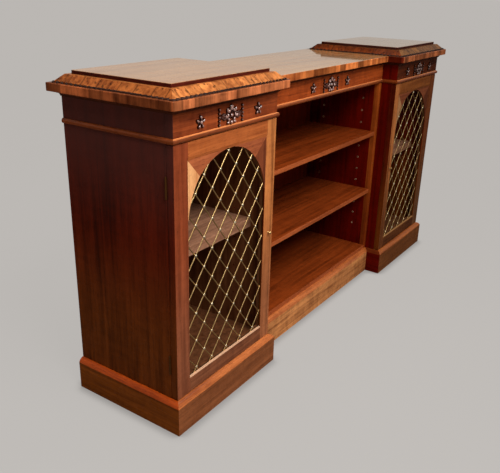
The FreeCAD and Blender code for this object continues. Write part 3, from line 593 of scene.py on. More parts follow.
def make_finishes():
    """Every material of the cabinet, by name."""
    brown_foot = (srgb(122, 58, 16), srgb(74, 32, 6), 1.0)
    # grey of the painted reflection and shade on the upper parts
    sheen_grey = srgb(94, 58, 53)
    red = (srgb(112, 14, 3), srgb(62, 6, 2))
    dark_red = (srgb(106, 29, 8), srgb(55, 14, 4))
    plain_brown = (srgb(120, 74, 46), srgb(76, 42, 24))
    dark_edge = (*dark_red, brown_foot)
    matt = dict(coat=0.1, coat_roughness=0.3)
    moulded = dict(along="run", arris=0.0)
    woods = {
        "side": dict(light=dark_red[0], dark=dark_red[1], streaks=42.0, coat=0.02, foot=brown_foot,
                     head=sheen_grey),
        "hinge_stile": dict(light=srgb(156, 74, 42), dark=srgb(108, 46, 24), shift=(0.2, 0.0, 0.1),
                            ends=dark_edge, head=sheen_grey, keep=(0.66, 0.86, 0.74),
                            foot=(srgb(152, 87, 57), srgb(104, 55, 34), 1.0)),
        "lock_stile": dict(light=srgb(222, 136, 74), dark=srgb(120, 60, 28), shift=(0.6, 0.3, 0.2),
                           streaks=30.0, tilt=0.05, ends=dark_edge,
                           quirk=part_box("right_door_lock_stile")[0].x + QUIRK_INSET,
                           foot=(srgb(186, 112, 70), srgb(112, 60, 34), (0.48, 0.43, 0.32))),
        "top_rail": dict(light=srgb(200, 110, 56), dark=srgb(140, 68, 32), along="x", tilt=0.03,
                         keep=(0.6, 0.68, 0.6)),
        # bottom_rail: sill is a painted highlight along the upward splay above the rail
        "bottom_rail": dict(light=srgb(152, 92, 60), dark=srgb(84, 44, 28), along="x",
                            shift=(0.4, 0.2, 0.3), sill=srgb(222, 172, 136), keep=(0.52, 0.44, 0.27)),
        "end_frieze": dict(light=srgb(166, 78, 38), dark=srgb(94, 38, 20), along="x", figure=0.6,
                           ends=red, away=dark_edge, head=sheen_grey, keep=0.36),
        "bay_frieze": dict(light=srgb(182, 82, 34), dark=srgb(112, 44, 18), along="x", figure=0.6,
                           coat=0.02),
        # astragal: crest is a painted highlight along its upper face
        "astragal": dict(light=srgb(152, 76, 38), dark=srgb(90, 40, 19), coat=0.3, crest=srgb(222, 134, 76),
                         ends=(srgb(150, 70, 28), srgb(92, 38, 12)), **moulded),
        # bed: near-black as painted shade under the overhang of the top
        "bed": dict(light=srgb(84, 38, 20), dark=srgb(44, 18, 9), **moulded),
        "plinth": dict(light=srgb(156, 92, 54), dark=srgb(104, 56, 30), coat=0.03, keep=(0.72, 0.7, 0.52),
                       ends=red, away=(srgb(142, 72, 20), srgb(88, 42, 8)), **moulded),
        "bay_plinth": dict(light=srgb(226, 149, 88), dark=srgb(136, 80, 43), along="x", figure=0.7),
        "plinth_moulding": dict(light=srgb(214, 122, 64), dark=srgb(142, 70, 34), coat=0.3,
                                keep=(0.72, 0.66, 0.46), ends=(srgb(126, 50, 18), srgb(76, 28, 9)),
                                away=(srgb(206, 84, 20), srgb(140, 52, 10)), **moulded),
        "bay_wall": dict(light=red[0], dark=red[1], coat=0.02, away=(srgb(134, 82, 50), srgb(88, 48, 26))),
        "lipping": dict(light=srgb(186, 90, 32), dark=srgb(116, 46, 12), shift=(0.1, 0.5, 0.4), coat=0.02,
                        foot=(srgb(146, 62, 20), srgb(88, 32, 8), 1.0)),
        "bay_shelf": dict(light=srgb(158, 68, 24), dark=srgb(98, 38, 11), along="x", coat=0.15,
                          front=(srgb(192, 99, 52), srgb(138, 64, 30))),
        "bead": dict(light=srgb(60, 32, 22), dark=srgb(26, 12, 8), coat=0.08, **moulded),
        "inside": dict(light=plain_brown[0], dark=plain_brown[1], **matt),
        "inside_shelf": dict(light=srgb(190, 136, 104), dark=srgb(124, 82, 60), along="x", **matt),
        "back": dict(light=plain_brown[0], dark=plain_brown[1], **matt,
                     front=(srgb(150, 54, 22), srgb(96, 28, 10))),
    }
    bands = {
        "slab": dict(light=srgb(216, 124, 74), dark=srgb(112, 56, 30), pitch=52 * MM, joint=0.2,
                     spread=0.75, streaks=36.0, keep=0.85, inward=(0.34, 0.13, 0.12),
                     top=(srgb(136, 72, 38), srgb(92, 44, 22))),
        # bay_slab: its pale top colours are partly a painted reflection
        "bay_slab": dict(light=srgb(236, 134, 68), dark=srgb(122, 54, 24), pitch=46 * MM, joint=0.2,
                         spread=1.0, streaks=36.0, keep=0.85, mirror=0.92,
                         top=(srgb(222, 162, 98), srgb(186, 126, 72))),
        "bevel_band": dict(light=srgb(226, 138, 72), dark=srgb(122, 60, 26), pitch=46 * MM, joint=0.7,
                           spread=0.3, streaks=80.0, keep=(0.35, 0.38, 0.28), flecks=0.65,
                           inward=(1.0, 0.62, 0.4)),
    }
    metals = {
        "bright_brass": (srgb(234, 196, 132), srgb(170, 128, 76), 0.34, 0.6),
        # the rear bars' brass is darker as painted shade
        "dull_brass": (srgb(208, 172, 114), srgb(138, 104, 62), 0.42, 0.8),
        "stud_brass": (srgb(255, 240, 205), srgb(206, 176, 120), 0.34),
        "hinge_brass": (srgb(118, 76, 40), srgb(72, 44, 22), 0.5),
        "old_brass": (srgb(120, 94, 54), srgb(62, 46, 26), 0.42),
    }
    finishes = {name: polished_wood(name, **values) for name, values in woods.items()}
    finishes.update({name: crossbanded_wood(name, **values) for name, values in bands.items()})
    finishes.update({name: brass(name, *values) for name, values in metals.items()})
    finishes["panel_top"] = panel_top_wood("panel_top", srgb(208, 148, 90), srgb(172, 114, 64),
                                           (srgb(98, 35, 22), srgb(56, 17, 9)))
    finishes["spandrel"] = spandrel_wood("spandrel")
    # the carving's last colour is its painted highlight on the peaks
    finishes["carving"] = carved_wood("carving", srgb(84, 36, 20), srgb(34, 13, 7), srgb(210, 156, 140))
    return finishes


FINISH = make_finishes()

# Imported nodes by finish, those of both ends under one name
PAIRED_NODES = {
    "side": ("outer_side",),
    "bay_wall": ("inner_side", "bay_upright"),
    "inside": ("bottom", "back", "door_grille_bead"),
    "inside_shelf": ("shelf",),
    "end_frieze": ("frieze",),
    "plinth": ("plinth",),
    "slab": ("top_slab",),
    "bevel_band": ("bevelled_frame",),
    "panel_top": ("raised_panel",),
    "hinge_stile": ("door_hinge_stile",),
    "lock_stile": ("door_lock_stile",),
    "top_rail": ("door_top_rail",),
    "bottom_rail": ("door_bottom_rail",),
    "spandrel": ("door_spandrels",),
    "hinge_brass": ("door_hinge_leaves",),
}
SINGLE_NODES = {
    "inside_shelf": ("shelf_pins",),
    "back": ("bay_back", "plinth_back_rail"),
    "bay_frieze": ("bay_frieze",),
    "lipping": ("bay_lippings",),
    "bay_shelf": ("bay_bottom", "bay_shelf_lower", "bay_shelf_upper"),
    "bay_plinth": ("bay_plinth",),
    "plinth_moulding": ("plinth_moulding",),
    "astragal": ("astragal_moulding",),
    "bed": ("bed_moulding",),
    "bay_slab": ("bay_top_slab",),
    "hinge_brass": ("frame_hinge_leaves", "hinge_pins"),
    "old_brass": ("ball_catches",),
}


def dress(finish, name):
    """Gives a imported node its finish."""
    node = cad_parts[name]
    if not node.data.materials:
        node.data.materials.append(FINISH[finish])
    for slot in node.material_slots:
        slot.material = FINISH[finish]


def dress_cabinet():
    for finish, names in PAIRED_NODES.items():
        for name in names:
            for side in SIDES:
                dress(finish, side + "_" + name)
    for finish, names in SINGLE_NODES.items():
        for name in names:
            dress(finish, name)


# Meshes

def new_piece(name, bm, material, smooth=True):
    """A piece of the cabinet from a finished bmesh."""
    bmesh.ops.recalc_face_normals(bm, faces=bm.faces)
    mesh = bpy.data.meshes.new(name)
    bm.to_mesh(mesh)
    bm.free()
    mesh.materials.append(material)
    mesh.polygons.foreach_set("use_smooth", [smooth] * len(mesh.polygons))
    piece = bpy.data.objects.new(name, mesh)
    bpy.context.scene.collection.objects.link(piece)
    return piece


def fit(piece, body, slot, *nodes):
    """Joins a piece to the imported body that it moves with."""
    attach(piece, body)
    if nodes:
        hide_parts(*nodes)


def around(count, start=0.0):
    """Angles of points spaced evenly round a circle."""
    return [start + 2 * math.pi * index / count for index in range(count)]


def polar(angle, reach, across=0.0, up=0.0):
    """The place at an angle and a distance from another."""
    return across + reach * math.cos(angle), up + reach * math.sin(angle)


def bridge(bm, first, second):
    """Faces between two closed loops of as many points."""
    for index in range(len(first)):
        after = (index + 1) % len(first)
        bm.faces.new((first[index], first[after], second[after], second[index]))


def fan(bm, loop, tip):
    """Faces from a closed loop to one point."""
    for index in range(len(loop)):
        bm.faces.new((loop[index], loop[(index + 1) % len(loop)], tip))


def turned(bm, centre, axis, profile, segments, ring=False):
    """A lathe-turned form; the profile's points are (radius, distance along the axis). The profile of a
    ring runs round to its start."""
    side = axis.orthogonal().normalized()
    other = axis.cross(side)
    rays = [side * math.cos(angle) + other * math.sin(angle) for angle in around(segments)]
    loops = []
    for radius, reach in profile:
        middle = centre + axis * reach
        loops.append([bm.verts.new(middle + ray * radius) for ray in (rays if radius else rays[:1])])
    for near, far in zip(loops, loops[1:] + loops[:1] * ring):
        if len(near) == 1:
            fan(bm, far, near[0])
        elif len(far) == 1:
            fan(bm, near, far[0])
        else:
            bridge(bm, near, far)
    for loop in (loops[0], loops[-1]):
        if len(loop) > 1 and not ring:
            bm.faces.new(loop)


def dome(radius, rise, rings):
    """A turned profile from a rim up to its crown."""
    steps = [math.pi / 2 * step / rings for step in range(rings)]
    return [(radius * math.cos(a), rise * math.sin(a)) for a in steps] + [(0, rise)]


# Geometry trees for what repeats

def new_tree(name, inputs):
    """A geometry tree with named inputs, its first one the shape it works on."""
    tree = bpy.data.node_groups.new(name, "GeometryNodeTree")
    tree.interface.new_socket("Geometry", in_out="INPUT", socket_type="NodeSocketGeometry")
    for label, kind in inputs.items():
        tree.interface.new_socket(label, in_out="INPUT", socket_type="NodeSocket" + kind)
    tree.interface.new_socket("Geometry", in_out="OUTPUT", socket_type="NodeSocketGeometry")
    return tree, tree.nodes.new("NodeGroupInput").outputs, tree.nodes.new("NodeGroupOutput").inputs


def finish_tree(tree, shapes, given, out):
    """Realizes the copies, smooths them and gives them their material."""
    real = place(tree, "GeometryNodeRealizeInstances", {"Geometry": shapes}).outputs[0]
    smooth = place(tree, "GeometryNodeSetShadeSmooth", {"Geometry": real}).outputs[0]
    dressed = place(tree, "GeometryNodeSetMaterial", {"Geometry": smooth, "Material": given["Material"]})
    tree.links.new(dressed.outputs[0], out["Geometry"])


def copies_on_points_tree():
    """A shape set on each point."""
    tree, given, out = new_tree("copies_on_points", {"Shape": "Object", "Material": "Material"})
    shape = place(tree, "GeometryNodeObjectInfo", {"Object": given["Shape"]}).outputs["Geometry"]
    points = place(tree, "GeometryNodeMeshToPoints", {"Mesh": given["Geometry"]}).outputs[0]
    copied = place(tree, "GeometryNodeInstanceOnPoints", {"Points": points, "Instance": shape})
    finish_tree(tree, copied.outputs[0], given, out)
    return tree


def copies_on_path_tree():
    """A shape set again and again along a path, its Z along the path."""
    tree, given, out = new_tree("copies_on_path",
                                {"Shape": "Object", "Spacing": "Float", "Material": "Material"})
    shape = place(tree, "GeometryNodeObjectInfo", {"Object": given["Shape"]}).outputs["Geometry"]
    path = place(tree, "GeometryNodeMeshToCurve", {"Mesh": given["Geometry"]}).outputs[0]
    points = place(tree, "GeometryNodeCurveToPoints", {"Curve": path, "Length": given["Spacing"]},
                   mode="LENGTH").outputs
    copied = place(tree, "GeometryNodeInstanceOnPoints", {"Points": points["Points"], "Instance": shape,
                                                          "Rotation": points["Rotation"]})
    finish_tree(tree, copied.outputs[0], given, out)
    return tree


def bars_on_lines_tree():
    """Oval bars along straight lines, flat side to the front."""
    tree, given, out = new_tree("bars_on_lines",
                                {"Width": "Float", "Depth": "Float", "Material": "Material"})
    lines = place(tree, "GeometryNodeMeshToCurve", {"Mesh": given["Geometry"]}).outputs[0]
    facing = place(tree, "GeometryNodeSetCurveNormal", {"Curve": lines, "Normal": FRONT}, mode="FREE")
    ring = place(tree, "GeometryNodeCurvePrimitiveCircle", {"Resolution": 12, "Radius": 0.5}).outputs[0]
    size = place(tree, "ShaderNodeCombineXYZ", {0: given["Depth"], 1: given["Width"], 2: 1.0}).outputs[0]
    section = place(tree, "GeometryNodeTransform", {"Geometry": ring, "Scale": size}).outputs[0]
    bars = place(tree, "GeometryNodeCurveToMesh", {"Curve": facing.outputs[0], "Profile Curve": section,
                                                   "Fill Caps": True}).outputs[0]
    finish_tree(tree, bars, given, out)
    return tree


COPIES_ON_POINTS = copies_on_points_tree()
COPIES_ON_PATH = copies_on_path_tree()
BARS_ON_LINES = bars_on_lines_tree()


def grown(name, tree, points, edges, values):
    """The plain mesh that a geometry tree makes of some points and lines."""
    mesh = bpy.data.meshes.new(name)
    mesh.from_pydata([tuple(point) for point in points], edges, [])
    piece = bpy.data.objects.new(name, mesh)
    bpy.context.scene.collection.objects.link(piece)
    modifier = piece.modifiers.new(name, "NODES")
    modifier.node_group = tree
    for item in tree.interface.items_tree:
        if item.in_out == "INPUT" and item.name in values:
            modifier[item.identifier] = values[item.name]
    bpy.context.view_layer.update()
    made = piece.evaluated_get(bpy.context.evaluated_depsgraph_get())
    result = bpy.data.meshes.new_from_object(made)
    piece.modifiers.clear()
    piece.data = result
    bpy.data.meshes.remove(mesh)
    return piece


def copies(name, bm, finish, tree, points, edges=(), **values):
    """Copies of one small form, which a geometry tree sets on points or along lines."""
    master = new_piece(name + "_master", bm, FINISH[finish])
    piece = grown(name, tree, points, edges, {"Shape": master, "Material": FINISH[finish], **values})
    bpy.data.objects.remove(master)
    return piece


# Brass lattice of a door

class Arch:
    """The arched opening of one door, which its lattice fills; x is from its middle, z from the floor."""

    def __init__(self, side):
        low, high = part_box(side + "_door_grille")
        self.middle = (low.x + high.x) / 2
        self.half = (high.x - low.x) / 2 - GRILLE_BORDER
        self.sill = low.z + GRILLE_BORDER
        self.crown = high.z - GRILLE_BORDER
        self.springing = self.crown - self.half
        self.back = high.y
        self.top = self.crown - LATTICE_CROWN
        rows = math.ceil((self.crown - self.sill) / LATTICE_PITCH_Z)
        reach = rows + math.ceil(self.half / LATTICE_PITCH_X) + 1
        self.columns = range(-reach, reach + 1)

    def span(self, x, dx, dz):
        """Both ends of a line's stretch inside the arch, or None; it passes x at the highest crossing."""
        half, low, z = self.half + BAR_TUCK, self.sill - BAR_TUCK, self.top
        near, far = (-half - x) / dx, (half - x) / dx
        if dz > 0:
            near = max(near, (low - z) / dz)
        else:
            far = min(far, (low - z) / dz)
        upper = far if dz > 0 else near
        if z + upper * dz > self.springing:
            middle = -(x * dx + (z - self.springing) * dz)
            room = middle ** 2 - (x ** 2 + (z - self.springing) ** 2 - half ** 2)
            if room <= 0:
                return None
            if dz > 0:
                far = min(far, middle + math.sqrt(room))
            else:
                near = max(near, middle - math.sqrt(room))
        if far - near < BAR_WIDTH:
            return None
        return (x + near * dx, z + near * dz), (x + far * dx, z + far * dz)

    def bars(self, lean, layer):
        """Points and lines of the bars that lean one way."""
        points, edges = [], []
        length = math.hypot(LATTICE_PITCH_X, LATTICE_PITCH_Z)
        dx, dz = LATTICE_PITCH_X / length, lean * LATTICE_PITCH_Z / length
        for column in self.columns:
            ends = self.span(column * LATTICE_PITCH_X, dx, dz)
            if ends:
                edges.append((len(points), len(points) + 1))
                points += [Vector((self.middle + x, self.back - layer * BAR_LAYER, z)) for x, z in ends]
        return points, edges

    def crossings(self):
        """Places where the bars cross in the clear opening."""
        points = []
        room = self.half - STUD_RADIUS
        for row in range(math.ceil((self.crown - self.sill) * 2 / LATTICE_PITCH_Z)):
            z = self.top - row * LATTICE_PITCH_Z / 2
            for column in self.columns:
                x = (column + row % 2 / 2) * LATTICE_PITCH_X
                if abs(x) < room and z > self.sill and math.hypot(x, max(z - self.springing, 0)) < room:
                    points.append(Vector((self.middle + x, self.back - 2 * BAR_LAYER, z)))
        return points

    def border(self):
        """The flat brass border that lies in the rebate."""
        bm = bmesh.new()
        turns = [math.pi * step / BORDER_STEPS for step in range(BORDER_STEPS + 1)]
        rims = []
        for offset in (BORDER_LIP, GRILLE_BORDER):
            reach = self.half + offset
            outline = [(-reach, self.sill - offset), (reach, self.sill - offset)]
            outline += [polar(turn, reach, up=self.springing) for turn in turns]
            for y in (self.back - 2 * BAR_LAYER, self.back):
                rims.append([bm.verts.new((self.middle + x, y, z)) for x, z in outline])
        inner_front, inner_back, outer_front, outer_back = rims
        bridge(bm, inner_front, outer_front)
        bridge(bm, outer_front, outer_back)
        bridge(bm, outer_back, inner_back)
        bridge(bm, inner_back, inner_front)
        return bm


def lattice(side):
    """The brass lattice of one door: oval bars in two layers, studs on the crossings, flat border."""
    arch = Arch(side)
    body = side + "_door"
    for name, lean, layer, width, finish in (("front", 1, 1.5, BAR_WIDTH, "bright_brass"),
                                             # the rear layer's darker brass is painted shade
                                             ("rear", -1, 0.5, REAR_BAR_WIDTH, "dull_brass")):
        bars = grown(side + "_lattice_" + name + "_bars", BARS_ON_LINES, *arch.bars(lean, layer),
                     {"Width": width, "Depth": BAR_DEPTH, "Material": FINISH[finish]})
        fit(bars, body, "brass", side + "_door_grille")
    bm = bmesh.new()
    foot = (STUD_RADIUS * 0.7, -BAR_LAYER / 2)
    turned(bm, Vector(), FRONT, [foot] + dome(STUD_RADIUS, STUD_RISE, rings=3), segments=10)
    studs = copies(side + "_lattice_studs", bm, "stud_brass", COPIES_ON_POINTS, arch.crossings())
    fit(studs, body, "brass")
    border = new_piece(side + "_lattice_border", arch.border(), FINISH["old_brass"], smooth=False)
    fit(border, body, "brass")


# Small brass

def door_knob(side):
    """A turned knob: stepped back plate, neck and flattened ball."""
    node = side + "_door_knob"
    low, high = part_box(node)
    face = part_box(side + "_door_lock_stile")[0].y
    centre = Vector(((low.x + high.x) / 2, face, (low.z + high.z) / 2))
    reach = face - low.y
    middle = (KNOB_THROAT + reach) / 2
    rise = (reach - KNOB_THROAT) / 2
    start = math.asin(-0.9)
    steps = 10
    swell = [start + (math.pi / 2 - start) * step / steps for step in range(steps)]
    profile = [(0, -KNOB_SHANK_LENGTH), (KNOB_SHANK, -KNOB_SHANK_LENGTH), (KNOB_SHANK, 0)]
    profile += [(KNOB_PLATE, 0), (KNOB_PLATE, 0.6 * MM), (KNOB_PLATE * 0.8, 1.0 * MM)]
    profile += [(KNOB_NECK * 1.3, 1.3 * MM), (KNOB_NECK, 2.0 * MM)]
    profile += [(KNOB_BALL * math.cos(a), middle + rise * math.sin(a)) for a in swell] + [(0, reach)]
    bm = bmesh.new()
    turned(bm, centre, FRONT, profile, segments=24)
    fit(new_piece(side + "_turned_knob", bm, FINISH["bright_brass"]), side + "_door", "brass", node)


def screw_shape(facing):
    """A slotted screw head: two half rounds on a sunk disc."""
    bm = bmesh.new()
    out = Vector((0, facing, 0))
    turned(bm, -out * SCREW_RISE, out, [(SCREW_RADIUS, 0), (SCREW_RADIUS, SCREW_RISE), (0, SCREW_RISE)],
           segments=12)
    steps = 8
    start = math.asin(SCREW_SLOT / SCREW_RADIUS)
    angles = [start + (math.pi - 2 * start) * step / steps for step in range(steps + 1)]
    for half in (SCREW_RADIUS, -SCREW_RADIUS):
        rims = [[bm.verts.new((SCREW_RADIUS * math.cos(a), level, half * math.sin(a))) for a in angles]
                for level in (0, facing * SCREW_RISE)]
        for rim in rims:
            bm.faces.new(rim)
        bridge(bm, *rims)
    return bm


def hinge_screws():
    """Three screws in each hinge leaf, on the doors and on the carcass."""
    for body, sides, facing in (("left_door", ("left",), 1), ("right_door", ("right",), 1),
                                ("carcass", SIDES, -1)):
        points = []
        for side in sides:
            low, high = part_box(side + "_door_hinge_leaves")
            stile_low, stile_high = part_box(side + "_door_hinge_stile")
            if side == "left":
                middle, stagger = (stile_low.x + high.x) / 2, -SCREW_STAGGER
            else:
                middle, stagger = (stile_high.x + low.x) / 2, SCREW_STAGGER
            y = stile_high.y if facing > 0 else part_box(side + "_outer_side")[0].y
            for z in (low.z + LEAF_LENGTH / 2, high.z - LEAF_LENGTH / 2):
                points += [Vector((middle, y, z - SCREW_SPREAD)), Vector((middle + stagger, y, z)),
                           Vector((middle, y, z + SCREW_SPREAD))]
        screws = copies(body + "_hinge_screws", screw_shape(facing), "old_brass", COPIES_ON_POINTS, points)
        fit(screws, body, "brass")


def peg_sockets():
    """Brass sockets in the shelf-pin holes of the open centre."""
    low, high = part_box("bay_shelf_lower")
    rows = (low.y - SHELF_SETBACK + PEG_SETBACK, high.y + SHELF_CLEARANCE - PEG_SETBACK)
    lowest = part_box("bay_bottom")[1].z + PEG_FIRST
    walls = (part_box("left_bay_upright")[1].x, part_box("right_bay_upright")[0].x)
    heights = [lowest + row * PEG_PITCH for row in range(PEG_COUNT)]
    points = [Vector((x, y, z)) for x in walls for y in rows for z in heights]
    bm = bmesh.new()
    turned(bm, Vector(), Vector((1, 0, 0)),
           [(SOCKET_BORE, -SOCKET_RISE), (SOCKET_BORE, SOCKET_RISE), (SOCKET_RADIUS * 0.85, SOCKET_RISE),
            (SOCKET_RADIUS, 0), (SOCKET_RADIUS * 0.85, -SOCKET_RISE)], segments=10, ring=True)
    fit(copies("shelf_pin_sockets", bm, "stud_brass", COPIES_ON_POINTS, points), "carcass", "brass")


def top_beads():
    """Dark bead and reel round the foot of each bevelled frame."""
    low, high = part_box("top_beads")
    inset = (high.z - low.z) * 0.9
    bm = bmesh.new()
    upward = Vector((0, 0, 1))
    half = REEL_LENGTH / 2
    turned(bm, Vector(), upward,
           [(STRING_RADIUS, -REEL_PITCH / 2), (STRING_RADIUS, -half), (REEL_RADIUS, -half * 0.6),
            (REEL_RADIUS, half * 0.6), (STRING_RADIUS, half), (STRING_RADIUS, REEL_PITCH / 2)], segments=8)
    crown = dome(BEAD_RADIUS, BEAD_RADIUS, rings=3)
    ball = [(radius, -rise) for radius, rise in reversed(crown[1:])] + crown
    turned(bm, upward * REEL_PITCH / 2, upward, ball, segments=8)
    points, edges = [], []
    for side in SIDES:
        frame_low, frame_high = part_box(side + "_bevelled_frame")
        x0, y0 = frame_low.x - inset, frame_low.y - inset
        x1, y1 = frame_high.x + inset, frame_high.y + inset
        start = len(points)
        points += [Vector((x, y, low.z)) for x, y in ((x0, y0), (x1, y0), (x1, y1), (x0, y1))]
        edges += [(start + index, start + (index + 1) % 4) for index in range(4)]
    beads = copies("beaded_strips", bm, "bead", COPIES_ON_PATH, points, edges, Spacing=REEL_PITCH)
    fit(beads, "carcass", "carved_wood", "top_beads")


# Carving

class Carving:
    """Applied carving on one frieze; places are (across, up) from its middle, heights off its face."""

    def __init__(self, node, frieze):
        low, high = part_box(node)
        self.node = node
        self.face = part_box(frieze)[0].y
        self.middle = Vector(((low.x + high.x) / 2, 0, (low.z + high.z) / 2))
        self.deepest = self.face - low.y
        self.bm = bmesh.new()

    def point(self, across, up, height):
        return self.bm.verts.new(Vector((self.middle.x + across, self.face - height, self.middle.z + up)))

    def mound(self, outline, crown, lift=0.0, dish=0.0, rings=4):
        """A closed swelling over a flat outline; dish hollows its middle."""
        across = sum(point[0] for point in outline) / len(outline)
        up = sum(point[1] for point in outline) / len(outline)
        loops = []
        for ring in range(rings):
            share = 1 - ring / rings
            height = lift + crown * math.sqrt(1 - share ** 2) * (1 - dish * (1 - share))
            loops.append([self.point(across + (a - across) * share, up + (u - up) * share, height)
                          for a, u in outline])
        for first, second in zip(loops, loops[1:]):
            bridge(self.bm, first, second)
        fan(self.bm, loops[-1], self.point(across, up, lift + crown * (1 - dish)))
        self.bm.faces.new(reversed(loops[0]))

    def leaf(self, root, angle, length, width, crown, lift=0.0, dish=0.0, belly=0.75, steps=8):
        """A pointed leaf or petal from its root; a belly under 1 widens it near the root."""
        ca, sa = math.cos(angle), math.sin(angle)
        sides = []
        for sign, order in ((1, range(steps)), (-1, range(steps, 0, -1))):
            for step in order:
                share = step / steps
                along = length * share
                off = 0
                if 0 < step < steps:
                    off = sign * width / 2 * math.sin(math.pi * share ** belly) ** 0.8
                sides.append((root[0] + along * ca - off * sa, root[1] + along * sa + off * ca))
        self.mound(sides, crown, lift, dish)

    def leaves(self, across, angles, inner, shape):
        """Leaves about a place, their roots a little way out from it."""
        for angle in angles:
            self.leaf(polar(angle, inner, across), angle, **shape)

    def ridge(self, path, widths, crown, closed=False, arcs=6):
        """A half-round moulding along a path of (across, up) points."""
        count = len(path)
        turns = [math.pi * step / arcs for step in range(arcs + 1)]
        loops = []
        for index, (a, u) in enumerate(path):
            before = path[index - 1] if closed or index else path[0]
            after = path[(index + 1) % count] if closed or index < count - 1 else path[-1]
            run = Vector((after[0] - before[0], after[1] - before[1])).normalized()
            half = widths[index] / 2
            loops.append([self.point(a - run.y * half * math.cos(t), u + run.x * half * math.cos(t),
                                     crown * math.sin(t)) for t in turns])
        for first, second in zip(loops, loops[1:] + loops[:1] * closed):
            bridge(self.bm, first, second)
        if not closed:
            self.bm.faces.new(loops[0])
            self.bm.faces.new(loops[-1])

    def round(self, across, up, radius, crown, lift=0.0, points=14):
        self.mound([polar(turn, radius, across, up) for turn in around(points)], crown, lift)

    def rosette(self, across):
        """Five round petals about a boss, with a pointed sepal between each two."""
        self.leaves(across, around(5, math.pi / 2 + math.pi / 5), ROSETTE_HEART, SEPAL)
        self.leaves(across, around(5, math.pi / 2), ROSETTE_HEART, PETAL)
        self.round(across, 0, **ROSETTE_BOSS)

    def wreath(self):
        """A laurel ring round a small flower."""
        ring = [polar(turn, WREATH_RADIUS) for turn in around(36)]
        self.ridge(ring, [WREATH_WIDTH] * len(ring), WREATH_RISE, closed=True)
        for turn in around(LAUREL_PAIRS, math.pi / LAUREL_PAIRS):
            climb = turn + math.pi / 2 if math.cos(turn) > 0 else turn - math.pi / 2
            for splay in (-0.5, 0.5):
                self.leaf(polar(turn, WREATH_RADIUS), climb + splay, **LAUREL_LEAF)
        for up in (-WREATH_RADIUS, WREATH_RADIUS):
            self.round(0, up, **WREATH_BOSS)
        self.leaves(0, around(4, math.pi / 4), FLOWER_HEART, FLOWER_PETAL)
        self.round(0, 0, **FLOWER_BOSS)

    def spray(self, side):
        """A scroll, leaves and hanging husks to one side of the wreath."""
        steps = 26
        scroll, widths = [], []
        for step in range(steps + 1):
            share = step / steps
            turn = math.pi + SCROLL_TURN * share
            reach = SCROLL_REACH[0] + (SCROLL_REACH[1] - SCROLL_REACH[0]) * share
            across, up = polar(turn, reach, SCROLL_PLACE)
            scroll.append((side * across, up))
            widths.append(SCROLL_WIDTH[0] + (SCROLL_WIDTH[1] - SCROLL_WIDTH[0]) * share)
        self.ridge(scroll, widths, SCROLL_RISE)
        self.round(side * SCROLL_PLACE, 0, **SCROLL_EYE)
        for spread in (-0.8, 0.0, 0.8):
            angle = spread if side > 0 else math.pi - spread
            self.leaf((side * SPRAY_ROOT, 0), angle, **SPRAY_LEAF)
        for index in range(HUSK_COUNT):
            up = ((HUSK_COUNT - 1) / 2 - index) * HUSK_SPACING
            self.leaf((side * HUSK_REACH, up + HUSK_RISE), -math.pi / 2, **HUSK)

    def finish(self, name):
        for side in (-1, 1):
            self.rosette(side * ROSETTE_SPACING)
        self.wreath()
        for side in (-1, 1):
            self.spray(side)
        piece = new_piece(name, self.bm, FINISH["carving"])
        relief = piece.data.attributes.new("relief", "FLOAT", "POINT")
        heights = [(self.face - vertex.co.y) / self.deepest for vertex in piece.data.vertices]
        relief.data.foreach_set("value", heights)
        fit(piece, "carcass", "carved_wood", self.node)


# Studio

def pale_floor():
    """A pale floor that keeps the cabinet's shadow."""
    bm = bmesh.new()
    bmesh.ops.create_grid(bm, x_segments=2, y_segments=2, size=FLOOR_HALF)
    material, tree, shader, found = new_material("floor")
    tone = fade(tree, noise(tree, found["Object"], 1.5, 3.0), 0.2, 0.8)
    pale = mix(tree, tone, srgb(189, 185, 181), srgb(191, 187, 183))
    path = place(tree, "ShaderNodeLightPath").outputs
    tree.links.new(mix(tree, path["Is Glossy Ray"], pale, FLOOR_REFLECTED), shader["Base Color"])
    shader["Roughness"].default_value = 1.0
    shader["Specular IOR Level"].default_value = 0.0
    nearness = place(tree, "ShaderNodeAmbientOcclusion", {"Distance": CONTACT_REACH}).outputs["AO"]
    contact = fade(tree, nearness, 0.5, 1.0, CONTACT_SHADE, 1.0)
    even = place(tree, "ShaderNodeEmission", {"Color": srgb(192, 188, 184), "Strength": contact}).outputs[0]
    lit = tree.nodes["Principled BSDF"].outputs[0]
    share = calc(tree, "MULTIPLY", path["Is Camera Ray"], FLOOR_EVEN)
    both_tones = place(tree, "ShaderNodeMixShader", {0: share, 1: lit, 2: even}).outputs[0]
    tree.links.new(both_tones, tree.nodes["Material Output"].inputs[0])
    new_piece("floor", bm, material)


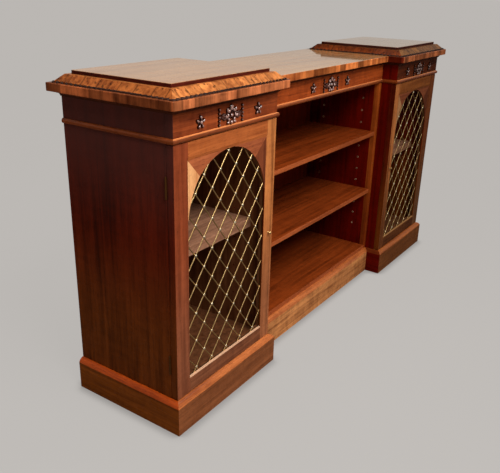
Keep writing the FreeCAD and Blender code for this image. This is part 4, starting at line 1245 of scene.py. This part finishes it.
def studio_light():
    """Soft light from the front and above, and a pale background."""
    world = bpy.data.worlds.new("studio")
    bpy.context.scene.world = world
    world.use_nodes = True
    tree = world.node_tree
    tree.nodes.clear()
    path = place(tree, "ShaderNodeLightPath").outputs
    strength = calc(tree, "MULTIPLY_ADD", path["Is Glossy Ray"], BACKGROUND_MIRRORED - BACKGROUND_LIGHT,
                    BACKGROUND_LIGHT)
    light = place(tree, "ShaderNodeBackground", {"Color": BACKGROUND_WARM, "Strength": strength}).outputs[0]
    seen = place(tree, "ShaderNodeBackground", {"Color": srgb(187, 183, 179), "Strength": 1.0}).outputs[0]
    sky = place(tree, "ShaderNodeMixShader", {0: path["Is Camera Ray"], 1: light, 2: seen}).outputs[0]
    tree.links.new(sky, place(tree, "ShaderNodeOutputWorld").inputs[0])

    softbox = bpy.data.lights.new("softbox", "AREA")
    softbox.shape = "RECTANGLE"
    softbox.size, softbox.size_y = SOFTBOX_SIZE
    softbox.spread = SOFTBOX_SPREAD
    softbox.energy = SOFTBOX_POWER
    top = bpy.data.lights.new("top", "SUN")
    top.energy = TOP_STRENGTH
    top.angle = TOP_ANGLE
    for lamp, spot, direction in ((softbox, SOFTBOX_PLACE, SOFTBOX_PLACE - SOFTBOX_TARGET),
                                  (top, TOP_FROM * 3, TOP_FROM)):
        holder = bpy.data.objects.new(lamp.name, lamp)
        holder.location = spot
        holder.rotation_euler = direction.to_track_quat("Z", "Y").to_euler()
        bpy.context.scene.collection.objects.link(holder)


def photograph_view():
    """The camera where the photograph was taken."""
    lens = bpy.data.cameras.new("camera")
    lens.lens = CAMERA_LENS
    lens.sensor_width = SENSOR_WIDTH
    lens.sensor_fit = "HORIZONTAL"
    lens.clip_end = CAMERA_RANGE
    camera = bpy.data.objects.new("camera", lens)
    turn = Matrix((CAMERA_RIGHT, CAMERA_RIGHT.cross(CAMERA_LOOK), -CAMERA_LOOK)).transposed()
    camera.matrix_world = Matrix.Translation(CAMERA_PLACE) @ turn.to_4x4()
    bpy.context.scene.collection.objects.link(camera)
    bpy.context.scene.camera = camera


dress_cabinet()
for side in SIDES:
    lattice(side)
    door_knob(side)
    Carving(side + "_frieze_carving", side + "_frieze").finish(side + "_carved_frieze")
Carving("bay_frieze_carving", "bay_frieze").finish("bay_carved_frieze")
hinge_screws()
peg_sockets()
top_beads()
pale_floor()
studio_light()
photograph_view()
bpy.context.scene.view_settings.view_transform = "Standard"
